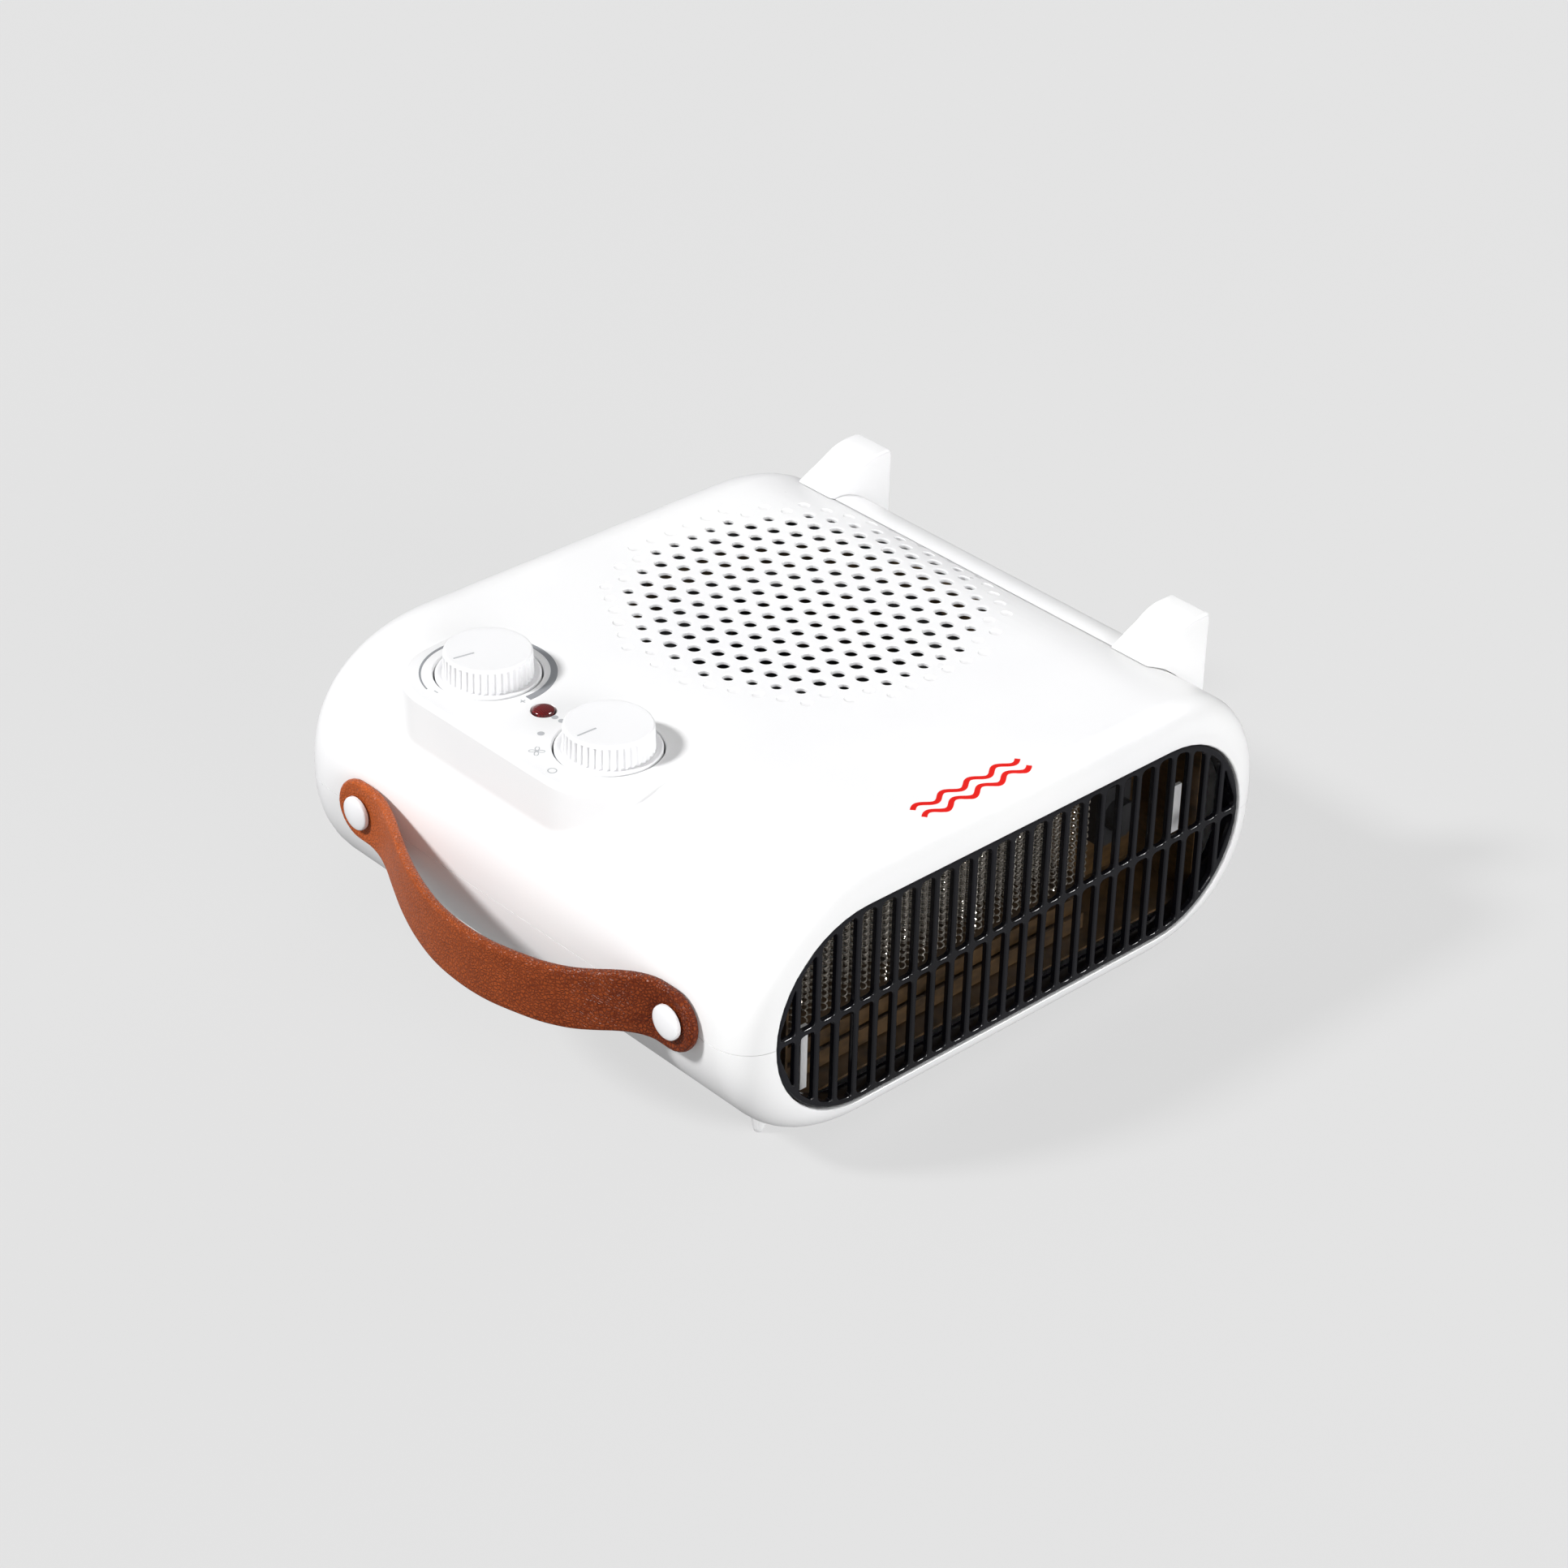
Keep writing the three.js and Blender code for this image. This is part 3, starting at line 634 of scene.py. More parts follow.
def intake_cutters():
    """Through holes with soft lips that follow the surface, and blind dimples round them."""
    sides = 20
    holes, dimples = [], []
    lip = [(HOLE_R + LIP - LIP * math.sin(a), LIP * (math.cos(a) - 1)) for a in (0.3, 0.65, 1.0, 1.3, 1.57)]
    bowl = ((2.3, -0.02), (2.15, -0.2), (1.75, -0.38), (1.2, -0.5), (0.5, -0.56))
    for row in range(-10, 11):
        for k in range(-20, 21):
            if (row + k) % 2:
                continue
            dx, dy = k / 2 * INTAKE_PITCH, row * INTAKE_ROW
            far = math.hypot(dx, dy)
            x, y = INTAKE[0] + dx, INTAKE[1] + dy
            if far <= INTAKE_R:
                small = 0.5 if far > INTAKE_R - 6 else 0.0
                levels = [(lip[0][0] - small, 2.0)] + [(r - small, z) for r, z in lip]
                levels.append((HOLE_R - small, -14))
                holes.append((x, y, levels))
            elif far <= DIMPLE_R:
                dimples.append((x, y, [(2.3, 2.0), *bowl]))
    parts = []
    for x, y, levels in holes + dimples:
        rings = []
        for r, z in levels:
            ring = circle(x, y, 0, r, sides)
            rings.append([(px, py, (top_z(px) if z > -5 else top_z(x)) + z) for px, py, _ in ring])
        parts.append(loft(rings))
    return gather(parts)


def stadium(half, r, cz, steps=24):
    """An outline in X and Z with two straight sides and two half round ends."""
    loop = []
    for sign in (1, -1):
        for k in range(steps + 1):
            a = (0 if sign > 0 else math.pi) + (k / steps - 0.5) * math.pi
            loop.append((sign * half + r * math.cos(a), cz + r * math.sin(a)))
    return loop


def outlet_cutter():
    """The outlet opening, its front edge slightly rounded."""
    gap, edge = 0.45, 0.7
    opening = stadium(GRILLE_HALF, GRILLE_R + gap, GRILLE_Z)
    levels = [(-HALF_DEPTH - 5, edge)]
    levels += [(-HALF_DEPTH + edge * (1 - math.cos(a)), edge * (1 - math.sin(a))) for a in SOFT_TURN]
    levels.append((-HALF_DEPTH + 9, 0.0))
    return loft([[(x, y, z) for x, z in offset_loop(opening, d)] for y, d in levels])


def keep_inside(part, depth):
    """The share of a part that lies deeper than depth inside the body."""
    return boolean(add_object("inside", *part), body_block(-depth), "INTERSECT")


def skin():
    """The hollow body with its panel, whole, before it is parted at the seam."""
    body = add_object("body", *body_block(0))
    join(body, panel_block())
    hollow = add_object("hollow", *body_block(-WALL))
    join(hollow, panel_hollow())
    pocket = lathe(*INTAKE, ((POCKET_R, TOP_Z - 14), (POCKET_R, TOP_Z)), 72)
    join(hollow, keep_inside(pocket, INTAKE_WALL))
    return cut(body, hollow)


def knob_recess(x, y):
    """The cup that a knob sits in, its rim slightly rounded."""
    levels = [(KNOB_HOLE_R + CUP_EDGE, TOP_Z + 3)]
    for a in (0.3, 0.7, 1.1, 1.57):
        levels.append((KNOB_HOLE_R + CUP_EDGE * (1 - math.sin(a)), TOP_Z - CUP_EDGE * (1 - math.cos(a))))
    levels.append((KNOB_HOLE_R, CUP_FLOOR_Z))
    return lathe(x, y, levels, 72)


def side_bore(y, radius, near, far):
    """A hole for a rivet, along X through the left side."""
    return shift(to_x(lathe(0, 0, ((radius, near), (radius, far)), 16)), 0, y, MID_Z)


def upper_shell():
    shell = skin()
    shell.name = "shell_upper"
    cut(shell, block(-FAR, FAR, -FAR, FAR, -20, SEAM_Z + SEAM))
    cup_r = KNOB_HOLE_R + CUP_WALL
    for x, y in (THERMO, SELECT):
        join(shell, lathe(x, y, ((cup_r, CUP_FLOOR_Z - CUP_WALL), (cup_r, TOP_Z - 1)), 48))
        cut(shell, knob_recess(x, y))
        cut(shell, lathe(x, y, ((SHAFT_HOLE_R, CUP_FLOOR_Z - 5), (SHAFT_HOLE_R, TOP_Z)), 20))
    lamp_hole = [(LAMP_RIM_R + 0.1, TOP_Z + 2), (LAMP_RIM_R, TOP_Z - 0.1)]
    lamp_hole += [(LAMP_HOLE_R, TOP_Z - 0.55), (LAMP_HOLE_R, TOP_Z - 7)]
    cut(shell, lathe(*LAMP, lamp_hole, 32))
    for x, y in POSTS:
        post = lathe(x, y, ((UPPER_POST_R, SEAM_Z + SEAM), (UPPER_POST_R, TOP_Z)), 16)
        join(shell, keep_inside(post, POST_COVER))
        cut(shell, lathe(x, y, ((SCREW_HOLE_R, SEAM_Z - 2), (SCREW_HOLE_R, SEAM_Z + 20)), 12))
    cut(shell, outlet_cutter())
    cut(shell, gather([side_bore(y, RIVET_HOLE_R, 118, 134) for y in RIVET_Y]))
    cut(shell, intake_cutters())
    return shell


def lower_shell():
    shell = skin()
    shell.name = "shell_lower"
    cut(shell, block(-FAR, FAR, -FAR, FAR, SEAM_Z - SEAM, FAR))
    for x, y in POSTS:
        low = 2 * MID_Z - top_z(x)
        post = lathe(x, y, ((LOWER_POST_R, low - 4), (LOWER_POST_R, SEAM_Z - SEAM)), 20)
        join(shell, keep_inside(post, POST_COVER))
        seat = [(SCREW_HEAD_R, low - 3), (SCREW_HEAD_R, low + 0.2), (SCREW_SEAT_R, low + 0.9)]
        cut(shell, lathe(x, y, [*seat, (SCREW_SEAT_R, 40)], 20))
        cut(shell, lathe(x, y, ((SCREW_HOLE_R, 30), (SCREW_HOLE_R, SEAM_Z + 2)), 12))
    cut(shell, outlet_cutter())
    inlet = lathe(0, 0, ((INLET_HOLE_R, HALF_DEPTH - 8), (INLET_HOLE_R, HALF_DEPTH + 4)), 32)
    cut(shell, shift(to_y(inlet), INLET_X, 0, INLET_Z))
    return shell


finish_piece(upper_shell(), WHITE, replaced=("upper_shell",), angle=42, weighted=True)
finish_piece(lower_shell(), WHITE, replaced=("lower_shell",), angle=42, weighted=True)


# ---- outlet grille ----
def slot_outlines():
    """The grille's slots, above and below its cross bar, each with rounded corners."""
    room = GRILLE_R - GRILLE_RIM

    def reach(x):
        past = min(max(0, abs(x) - GRILLE_HALF), room)
        return math.sqrt(room * room - past * past)

    outlines = []
    w = SLOT_WIDTH / 2
    foot = CROSS_BAR / 2
    for i in range(SLOTS):
        x = (i - (SLOTS - 1) / 2) * SLOT_PITCH
        heads = [(x + d, max(reach(x + d), foot + 4)) for d in (w, -w)]
        rounded = fillet_corners([(x - w, foot), (x + w, foot), *heads], (2.0, 2.0, 2.2, 2.2))
        for side in (1, -1):
            outlines.append([(px, GRILLE_Z + side * pz) for px, pz in rounded])
    return outlines


def outlet_grille():
    """A rim with bars across it, hollow behind the bars; the edges in front are softened."""
    rim = stadium(GRILLE_HALF, GRILLE_R, GRILLE_Z)
    y0 = GRILLE_FRONT
    edge = 0.9
    turns = (0, 0.4, 0.8, 1.2, 1.57)
    levels = [(y0 + edge * (1 - math.cos(a)), -edge * (1 - math.sin(a))) for a in turns]
    levels.append((y0 + GRILLE_DEPTH, 0))
    grille = add_object("grille", *loft([[(x, y, z) for x, z in offset_loop(rim, d)] for y, d in levels]))
    inside = stadium(GRILLE_HALF, GRILLE_R - GRILLE_RIM + 0.5, GRILLE_Z)
    cut(grille, prism_y(inside, y0 + BAR_DEPTH, y0 + 20))
    cutters = []
    for outline in slot_outlines():
        lip = [(y0 - 2, BAR_EDGE)]
        lip += [(y0 + BAR_EDGE * (1 - math.cos(a)), BAR_EDGE * (1 - math.sin(a))) for a in SOFT_TURN]
        lip.append((y0 + BAR_DEPTH + 3, 0))
        cutters.append(loft([[(x, y, z) for x, z in offset_loop(outline, d)] for y, d in lip]))
    cut(grille, gather(cutters))
    return grille


finish_piece(outlet_grille(), BLACK, replaced=("outlet_grille",), angle=45, weighted=True)


# ---- stand ----
def mirrored(upper):
    """An outline from its upper half, turned over at the body's middle height."""
    return upper + [(x, 2 * MID_Z - z) for x, z in reversed(upper)]


def smooth_line(points, steps=6):
    """A line through the points, rounded as a centripetal curve."""
    vecs = [Vector(p) for p in points]
    vecs = [vecs[0] * 2 - vecs[1], *vecs, vecs[-1] * 2 - vecs[-2]]
    line = []
    for i in range(1, len(vecs) - 2):
        p0, p1, p2, p3 = vecs[i - 1:i + 3]
        t0 = 0.0
        t1 = t0 + max((p1 - p0).length, 1e-6) ** 0.5
        t2 = t1 + max((p2 - p1).length, 1e-6) ** 0.5
        t3 = t2 + max((p3 - p2).length, 1e-6) ** 0.5
        for k in range(steps):
            t = t1 + (t2 - t1) * k / steps
            a1 = p0 * ((t1 - t) / (t1 - t0)) + p1 * ((t - t0) / (t1 - t0))
            a2 = p1 * ((t2 - t) / (t2 - t1)) + p2 * ((t - t1) / (t2 - t1))
            a3 = p2 * ((t3 - t) / (t3 - t2)) + p3 * ((t - t2) / (t3 - t2))
            b1 = a1 * ((t2 - t) / (t2 - t0)) + a2 * ((t - t0) / (t2 - t0))
            b2 = a2 * ((t3 - t) / (t3 - t1)) + a3 * ((t - t1) / (t3 - t1))
            line.append(b1 * ((t2 - t) / (t2 - t1)) + b2 * ((t - t1) / (t2 - t1)))
    line.append(vecs[-2])
    return line


def stand_fin(y0, y1):
    rise = [(95, 104), (103, 108.4), (110, 111.6), (114.6, 114.2), (119, 115.6), (122.5, 116)]
    upper = [tuple(p) for p in smooth_line(rise, 3)]
    upper += [(127.4, 116), (129.2, 115.4), (FIN_PLANE_X, 114)]
    fin = add_object("fin", *prism_y(mirrored([(93, 98), *upper]), y0, y1, FIN_EDGE))
    return cut(fin, body_block(STAND_GAP))


def stand_plate():
    hump = smooth_line([
        (98, 104.5), (104, 104.6), (110, 102.7), (113, 101.1), (116, 98.8), (122, 93.5), (127, 87),
    ], 3)
    outline = mirrored([(96, 98), *[tuple(p) for p in hump], (129.2, 82.5), (FIN_PLANE_X, 80)])
    plate = add_object("plate", *prism_y(outline, FIN_FRONT[1] + STAND_GAP, FIN_REAR[0] - STAND_GAP))
    return cut(plate, body_block(STAND_GAP))


for end, span in (("front", FIN_FRONT), ("rear", FIN_REAR)):
    fin = finish_piece(stand_fin(*span), TRIM, replaced=(f"stand_fin_{end}",), weighted=True)
    fin.name = f"foot_fin_{end}"
plate = finish_piece(stand_plate(), WHITE, replaced=("stand_plate",), weighted=True)
plate.name = "foot_plate"

for end, leg_y in LEG_Y:
    leg = add_object("leg", *lathe(LEG_X, leg_y, ((1.5, 0), (1.8, 0.4), (2.2, 2), (3.3, 8), (5.2, 18)), 28))
    cut(leg, body_block(STAND_GAP))
    finish_piece(leg, TRIM, replaced=(f"corner_foot_{end}",))
    leg.name = f"leg_{end}"


# ---- strap ----
STRAP_PATH = (
    (-131.9, -103.5), (-131.9, -97), (-131.9, -91), (-131.9, -85.5), (-132.1, -82), (-134, -77),
    (-138, -71.6), (-143.7, -66), (-149, -60), (-154, -51), (-157.6, -40), (-160.3, -28),
    (-161, -15), (-159.6, 0), (-155.4, 16), (-149.6, 31), (-142.6, 45.5), (-136.8, 57),
    (-133.6, 65), (-132.1, 71.5), (-131.9, 75), (-131.9, 80), (-131.9, 86), (-131.9, 92),
)


def strap():
    """The leather band along its path, with rounded ends and edges, pressed in round the rivets."""
    line = smooth_line(STRAP_PATH, 8)
    travel = [0.0]
    for a, b in zip(line, line[1:]):
        travel.append(travel[-1] + (b - a).length)

    def at(s):
        """The path's place at a length s along it, with the way to its left."""
        i = max(1, next((k for k, t in enumerate(travel) if t >= s), len(travel) - 1))
        share = (s - travel[i - 1]) / (travel[i] - travel[i - 1])
        here = line[i - 1].lerp(line[i], share)
        a = (line[min(i + 1, len(line) - 1)] - line[max(i - 1, 0)]).normalized()
        b = (line[i] - line[max(i - 2, 0)]).normalized()
        along = (b.lerp(a, share)).normalized()
        return here, Vector((-along.y, along.x))

    marks = [next(travel[i] for i, p in enumerate(line) if p.y >= y) for y in RIVET_Y]
    mid, half = (marks[0] + marks[1]) / 2, (marks[1] - marks[0]) / 2
    long_steps, turn_steps = 84, 14

    def outline(inset):
        """The band laid flat, as (length along it, distance across it), drawn in by inset."""
        r = STRAP_HALF - inset
        loop = []
        for sign in (1, -1):
            for k in range(turn_steps + 1):
                a = (0 if sign > 0 else math.pi) + (k / turn_steps - 0.5) * math.pi
                loop.append((mid + sign * half + r * math.cos(a), r * math.sin(a)))
            for k in range(1, long_steps):
                loop.append((mid + sign * half * (1 - 2 * k / long_steps), sign * r))
        return loop

    turn = [math.pi * k / 10 for k in range(11)]
    levels = [(inset, 0.0) for inset in STRAP_INSETS]
    levels += [(STRAP_EDGE * (1 - math.sin(a)), 0.5 * STRAP_THICK * (1 - math.cos(a))) for a in turn]
    levels += [(inset, STRAP_THICK) for inset in reversed(STRAP_INSETS)]
    verts = []
    for inset, h in levels:
        for s, w in outline(inset):
            here, left = at(min(max(s, 0.01), travel[-1] - 0.01))
            dent, crown = 0.0, 0.0
            if h == STRAP_THICK:
                near = min(math.hypot(s - m, w) for m in marks)
                dent = RIVET_DENT * max(0.0, 1 - max(near - 7, 0) / 4) ** 2
                crown = STRAP_CROWN * (1 - (w / STRAP_HALF) ** 2)
            place = here + left * (h - STRAP_THICK - dent + crown - STRAP_SINK)
            verts.append((place.x, place.y, MID_Z + w))
    count = 2 * (turn_steps + 1) + 2 * (long_steps - 1)
    faces = side_faces(len(levels), count)
    # the middle of each broad face is closed by strips between the two long sides
    for base in (0, (len(levels) - 1) * count):
        row_a = [base + turn_steps + k for k in range(long_steps + 1)]
        start_b = turn_steps + 1 + (long_steps - 1)
        row_b = [base + (start_b + turn_steps + k) % count for k in range(long_steps + 1)]
        row_b = list(reversed(row_b))
        for k in range(long_steps):
            faces.append((row_a[k], row_a[k + 1], row_b[k + 1], row_b[k]))
        faces.append(tuple(base + k for k in range(turn_steps + 1)))
        faces.append(tuple(base + start_b + k for k in range(turn_steps + 1)))
    leather = add_object("strap_leather_band", verts, faces)
    for y in RIVET_Y:
        cut(leather, side_bore(y, STRAP_HOLE_R, 120, 140))
    return leather


finish_piece(strap(), LEATHER, replaced=("strap",), angle=50)

for end, rivet_y in zip(("front", "rear"), RIVET_Y):
    profile = [(2, 122.7), (2, 131.95), (6.1, 131.95), (RIVET_CAP_R, 132.25), (RIVET_CAP_R, 133.2)]
    profile += [(RIVET_CAP_R - 0.9 * (1 - math.cos(a)), 133.2 + 0.75 * math.sin(a)) for a in (0.4, 0.8, 1.2)]
    profile += [(4.8, 134.15), (3.4, 134.4), (1.8, 134.55), (0.4, 134.6)]
    cap = shift(to_x(lathe(0, 0, profile, 44)), 0, rivet_y, MID_Z)
    piece(f"rivet_{end}", cap, CAP, replaced=(f"strap_rivet_{end}",))


# ---- controls ----
def knob_levels():
    """(height, radius, depth of the flutes) from the underside of the skirt to the middle of the top."""
    low, high = CUP_FLOOR_Z + 0.7, TOP_Z + KNOB_RISE
    skirt = [(low, 3.4, 0), (low, 18.6, 0), (low + 0.3, KNOB_SKIRT_R, 0), (TOP_Z - 0.1, KNOB_SKIRT_R, 0)]
    skirt += [(TOP_Z + 0.2, 18.75, 0), (TOP_Z + 0.4, 18.4, 0), (TOP_Z + 0.45, 17.9, 0)]
    groove = [(TOP_Z + 0.1, 16.95, 0), (TOP_Z - 0.25, 16.6, 0.1)]
    groove += [(TOP_Z - 0.1, 16.3, 0.95), (TOP_Z + 0.2, 16.25, 1.0)]
    grip = [(TOP_Z + 0.2 + k * 1.4, 16.25 - 0.05 * k, 1.0) for k in range(1, 6)]
    grip += [(TOP_Z + 7.7, 15.98, 0.85), (TOP_Z + 8.1, 15.95, 0.3), (TOP_Z + 8.3, 15.9, 0)]
    turns = (0.2, 0.6, 1.0, 1.35)
    rim = [(high - 0.9 + 0.9 * math.sin(a), 15.9 - 0.9 * (1 - math.cos(a)), 0) for a in turns]
    top = [(high, 14.9, 0), (high - 0.06, 12, 0), (high - 0.1, 6, 0), (high - 0.1, 0.5, 0)]
    return skirt + groove + grip + rim + top


def knob(name, spot, body, replaced, pointer_deg):
    """A knob with its pointer, at the place and the angle that it has at rest."""
    x, y = spot
    sides = KNOB_FLUTES * FLUTE_POINTS

    def ring(z, radius, depth):
        made = []
        for i in range(sides):
            phase = (i % FLUTE_POINTS) / FLUTE_POINTS - 0.5
            valley = math.exp(-((phase / 0.25) ** 4)) * depth
            a = 2 * math.pi * (i / sides)
            made.append((x + (radius - valley) * math.cos(a), y + (radius - valley) * math.sin(a), z))
        return made

    turned = add_object(name, *loft([ring(*level) for level in knob_levels()]))
    cut(turned, lathe(x, y, ((KNOB_BORE_R, CUP_FLOOR_Z - 2), (KNOB_BORE_R, TOP_Z + 4)), 20))
    finish_piece(turned, KNOB, body, replaced, angle=40)
    a = math.radians(pointer_deg)
    way, across = Vector((math.cos(a), math.sin(a))), Vector((-math.sin(a), math.cos(a)))
    near, far, half = 5.5, 13.6, 0.3
    plan = ((near, -half), (far, -half), (far, half), (near, half))
    corners = [Vector(spot) + way * r + across * w for r, w in plan]
    top = TOP_Z + KNOB_RISE
    line = prism_z([tuple(c) for c in corners], top - 0.3, top + 0.06)
    piece(f"{name}_pointer", line, PALE_INK, body)


knob("knob_thermostat", THERMO, "thermostat_dial", ("thermostat_knob",), 169)
knob("knob_selector", SELECT, "selector_dial", ("selector_knob",), 178)

FLANGE_TOP = TOP_Z - WALL - 0.3
DOME_Z = TOP_Z + 0.35
DOME_RISE = 0.95
lens_profile = [(LENS_FLANGE_R, TOP_Z - WALL - 1.5), (LENS_FLANGE_R, FLANGE_TOP)]
lens_profile += [(LENS_R, FLANGE_TOP), (LENS_R, DOME_Z)]
for a in (0.25, 0.5, 0.75, 1.0, 1.25, 1.45):
    lens_profile.append((LENS_R * math.cos(a), DOME_Z + DOME_RISE * math.sin(a)))
piece("lens_indicator", lathe(*LAMP, lens_profile, 36), LENS, replaced=("indicator_lens",))

# ---- printed marks ----
INK_LOW, INK_HIGH = -0.05, 0.05
SCALE_R = 24.5
SCALE_START, SCALE_END = 169, -92
ICON_R = 24.8


def mark(name, outlines, look):
    """A printed mark on the raised panel: thin raised outlines."""
    parts = [prism_z(outline, TOP_Z + INK_LOW, TOP_Z + INK_HIGH) for outline in outlines]
    return piece(name, gather(parts), look)


def skin_z(x, y):
    """Height of the top near the front edge, where it starts to round over."""
    past = max(0, -HALF_DEPTH + FRONT_ROUND - y)
    return top_z(x) - FRONT_ROUND + math.sqrt(FRONT_ROUND ** 2 - past ** 2)


def disc(x, y, r, sides=28):
    return [(px, py) for px, py, _ in circle(x, y, 0, r, sides)]


def band(points, half):
    """An outline of even width along an open line."""
    left, right = [], []
    vecs = [Vector(p) for p in points]
    for i, here in enumerate(vecs):
        before = (here - vecs[max(i - 1, 0)]) if i else (vecs[1] - here)
        after = (vecs[min(i + 1, len(vecs) - 1)] - here) if i < len(vecs) - 1 else before
        along = (before.normalized() + after.normalized()).normalized()
        out = Vector((-along.y, along.x)) * half / max(along.dot(after.normalized()), 0.4)
        left.append(tuple(here + out))
        right.append(tuple(here - out))
    return left + right[::-1]


def polar(spot, r, deg):
    """The point at a distance and an angle from a spot."""
    return spot[0] + r * math.cos(math.radians(deg)), spot[1] + r * math.sin(math.radians(deg))


def crescent(spot, radius, start, end, thin, thick, steps=72):
    """An arc that widens inward from thin to thick along its way."""
    outside, inside = [], []
    for k in range(steps + 1):
        t = k / steps
        deg = start + (end - start) * t
        outside.append(polar(spot, radius, deg))
        inside.append(polar(spot, radius - thin - (thick - thin) * t, deg))
    return outside + inside[::-1]


def ring_mark(name, x, y, r, half, look):
    """A printed ring on the raised panel."""
    outside, inside = circle(x, y, 0, r + half, 32), circle(x, y, 0, r - half, 32)
    rings = [
        [(px, py, TOP_Z + d) for px, py, _ in loop]
        for loop, d in ((outside, INK_LOW), (outside, INK_HIGH), (inside, INK_HIGH), (inside, INK_LOW))
    ]
    return piece(name, torus(rings), look)


mark("scale_temperature", [crescent(THERMO, SCALE_R, SCALE_START, SCALE_END, 0.5, 3.0)], GREY_INK)

half, arm = 0.25, 1.1
minus = polar(THERMO, 22.5, 177)
bar = [(-half, -1), (half, -1), (half, 1), (-half, 1)]
mark("scale_minus", [[(minus[0] + dx, minus[1] + dy) for dx, dy in bar]], PALE_INK)
plus = polar(THERMO, 23.7, -98.5)
cross = [(half, arm), (half, half), (arm, half), (arm, -half), (half, -half), (half, -arm)]
cross += [(-dx, -dy) for dx, dy in cross]
mark("scale_plus", [[(plus[0] + dx, plus[1] + dy) for dx, dy in cross]], PALE_INK)

ring_mark("icon_off", *polar(SELECT, ICON_R, 179), 1.5, 0.2, PALE_INK)
mark("icon_one_dot", [disc(*polar(SELECT, ICON_R, 120), 1.3)], PALE_INK)
mark("icon_two_dots", [disc(*polar(SELECT, r, 94), 1.25) for r in (26.7, 23.3)], PALE_INK)

# four oval blades round a hub
fan_at = polar(SELECT, ICON_R, 147)
blades = []
for i in range(4):
    turn = math.radians(45 + i * 90)
    centre = (fan_at[0] + 1.65 * math.cos(turn), fan_at[1] + 1.65 * math.sin(turn))
    oval = []
    for k in range(18):
        a = 2 * math.pi * k / 18
        u, v = 1.2 * math.cos(a), 0.75 * math.sin(a)
        oval.append((
            centre[0] + u * math.cos(turn) - v * math.sin(turn),
            centre[1] + u * math.sin(turn) + v * math.cos(turn),
        ))
    blades.append(band(oval, 0.17))
mark("icon_fan", [*blades, disc(*fan_at, 0.35, 12)], PALE_INK)

# two plain heat waves, in place of any printed name
WAVE_START_X = -38
WAVE_LENGTH = 50
WAVE_HEIGHT = 1.6
WAVE_TURN = 8 * math.pi
WAVE_STEPS = 96
waves = []
for line_y in (-111.9, -106.3):
    rings = []
    for k in range(WAVE_STEPS + 1):
        t = k / WAVE_STEPS
        x = WAVE_START_X + WAVE_LENGTH * t
        y = line_y + WAVE_HEIGHT * math.sin(t * WAVE_TURN)
        slope = WAVE_HEIGHT * WAVE_TURN / WAVE_LENGTH * math.cos(t * WAVE_TURN)
        out = Vector((-slope, 1)).normalized()
        one, other = (x - out.x, y - out.y), (x + out.x, y + out.y)
        levels = ((one, INK_LOW), (one, INK_HIGH), (other, INK_HIGH), (other, INK_LOW))
        rings.append([(*point, skin_z(*point) + d) for point, d in levels])
    waves.append(loft(rings))
piece("mark_heat_waves", gather(waves), RED_INK)

# ---- heater behind the grille ----
for i, coil_y in enumerate(COIL_Y):
    # each run is a drawn-out spring between the two mica shelves
    steps = COIL_TURNS * TURN_POINTS
    runs = []
    for k in range(COIL_RUNS):
        x = COIL_FIRST_X + k * COIL_PITCH
        path = []
        for s in range(steps + 1):
            a = 2 * math.pi * s / TURN_POINTS + k
            z = COIL_LOW_Z + (COIL_HIGH_Z - COIL_LOW_Z) * s / steps
            path.append((x + COIL_R * math.cos(a), coil_y + COIL_R * math.sin(a), z))
        runs.append(tube(path, WIRE_R, 4))
    piece(f"coil_{i + 1}", gather(runs), COIL, replaced=(f"heating_wire_{i + 1}",), angle=60)

# ---- looks of the CAD nodes that stay ----
LOOKS = {
    "thermostat_body": PALE, "selector_switch": DARK, "indicator_lamp": LAMP_HOLDER, "selector_shaft": DARK,
    "thermostat_shaft": STEEL, "heater_frame": MICA, "mica_shelf_low": MICA, "mica_shelf_high": MICA,
    "mica_louvre_1": MICA, "mica_louvre_2": MICA, "mica_louvre_3": MICA, "mica_end_plate": MICA,
    "end_strip_right": BRIGHT, "end_strip_left": BRIGHT, "thermal_cutout": DARK, "thermal_fuse": STEEL,
    "air_guide": INNER, "fan_impeller": DARK, "motor_shaft": STEEL, "motor": STEEL, "motor_bracket": STEEL,
    "terminal_block": PALE, "cord_inlet": TRIM, "rivet_washer_front": STEEL, "rivet_washer_rear": STEEL,
    "shell_screw_1": STEEL, "shell_screw_2": STEEL, "shell_screw_3": STEEL, "shell_screw_4": STEEL,
}
for node_name, look in LOOKS.items():
    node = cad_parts[node_name]
    node.data.materials.clear()
    node.data.materials.append(look)

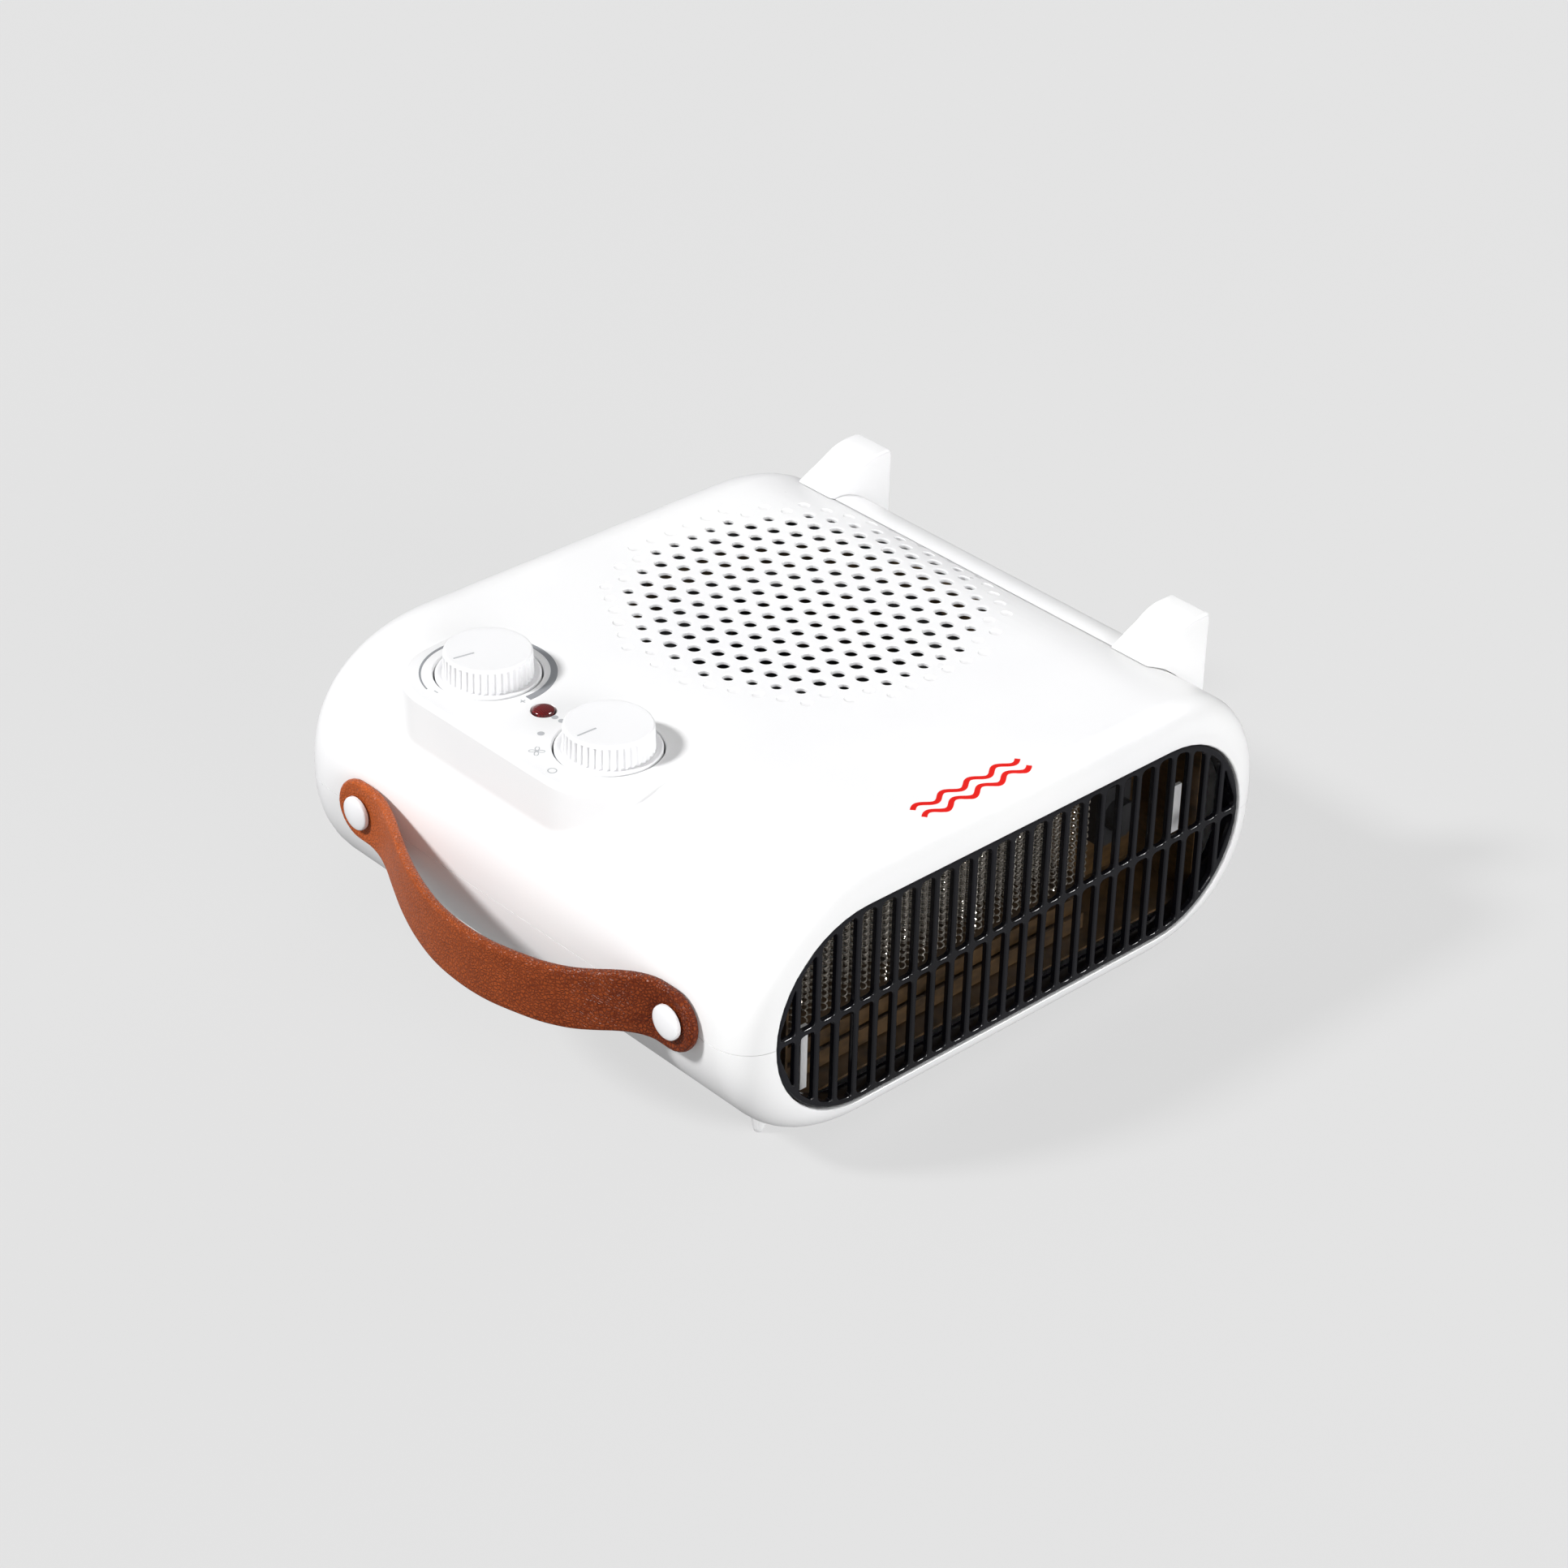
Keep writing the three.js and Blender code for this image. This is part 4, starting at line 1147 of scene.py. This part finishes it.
# ---- room, light and camera ----
FLOOR_HALF = 6000
floor = add_object("floor", *block(-FLOOR_HALF, FLOOR_HALF, -FLOOR_HALF, FLOOR_HALF, -40, 0))
floor.data.transform(Matrix.Scale(0.001, 4))
floor_look = new_material(
    "floor_paint", (0.12, 0.12, 0.12), 0.9,
    Specular_IOR_Level=0.0, Emission_Color=(1, 1, 1, 1), Emission_Strength=0.63,
)
floor_space = object_space(floor_look)
vary_color(floor_look, noise(floor_look, floor_space, 3, 2), (0.118, 0.118, 0.118), (0.122, 0.122, 0.122))
floor.data.materials.append(floor_look)
# the floor glows by itself, and neither lights the heater nor shows in its gloss
floor.visible_diffuse = False
floor.visible_glossy = False

WORLD_STRENGTH = 0.30
world = bpy.data.worlds.new("room")
world.use_nodes = True
world.node_tree.nodes["Background"].inputs["Color"].default_value = (1, 1, 1, 1)
world.node_tree.nodes["Background"].inputs["Strength"].default_value = WORLD_STRENGTH
bpy.context.scene.world = world


def sun_light(name, direction, angle, power, glossy=True, diffuse=True):
    """A sun that shines along direction; it can be kept out of highlights or out of plain light."""
    lamp = bpy.data.lights.new(name, "SUN")
    lamp.angle = math.radians(angle)
    lamp.energy = power
    thing = bpy.data.objects.new(name, lamp)
    thing.rotation_mode = "QUATERNION"
    thing.rotation_quaternion = Vector(direction).to_track_quat("-Z", "Y")
    thing.visible_glossy = glossy
    thing.visible_diffuse = diffuse
    bpy.context.scene.collection.objects.link(thing)


sun_light("key", (0.66, -0.42, -0.66), 9, 3.3)
sun_light("front_fill", (0.1, 1.0, -0.15), 45, 3.0, glossy=False)
sun_light("right_fill", (-1.0, -0.1, -0.05), 50, 1.5, glossy=False)
sun_light("glint", (-0.5, 0.35, -0.75), 14, 4.0, diffuse=False)
sun_light("front_glint", (0.3, 0.9, -0.3), 6, 1.6, diffuse=False)

# the camera's place is in metres in the frame
CAMERA_AT = Vector((-0.82646, -0.89913, 0.83101))
CAMERA_HEADING = math.radians(43.26)
CAMERA_TILT = math.radians(32.28)
CAMERA_ROLL = math.radians(1.44)
SENSOR_MM = 36
FOCAL_MM = 91.66
optics = bpy.data.cameras.new("camera")
optics.sensor_width = SENSOR_MM
optics.lens = FOCAL_MM
optics.clip_start = 0.05
optics.clip_end = 50
camera = bpy.data.objects.new("camera", optics)
forward = Vector((
    math.cos(CAMERA_TILT) * math.sin(CAMERA_HEADING),
    math.cos(CAMERA_TILT) * math.cos(CAMERA_HEADING),
    -math.sin(CAMERA_TILT),
))
level_right = forward.cross(Vector((0, 0, 1))).normalized()
level_up = level_right.cross(forward)
right = level_right * math.cos(CAMERA_ROLL) + level_up * math.sin(CAMERA_ROLL)
up = level_up * math.cos(CAMERA_ROLL) - level_right * math.sin(CAMERA_ROLL)
camera.matrix_world = Matrix.Translation(CAMERA_AT) @ Matrix((right, up, -forward)).transposed().to_4x4()
bpy.context.scene.collection.objects.link(camera)
bpy.context.scene.camera = camera
bpy.context.scene.view_settings.view_transform = "Standard"
bpy.context.scene.view_settings.look = "None"
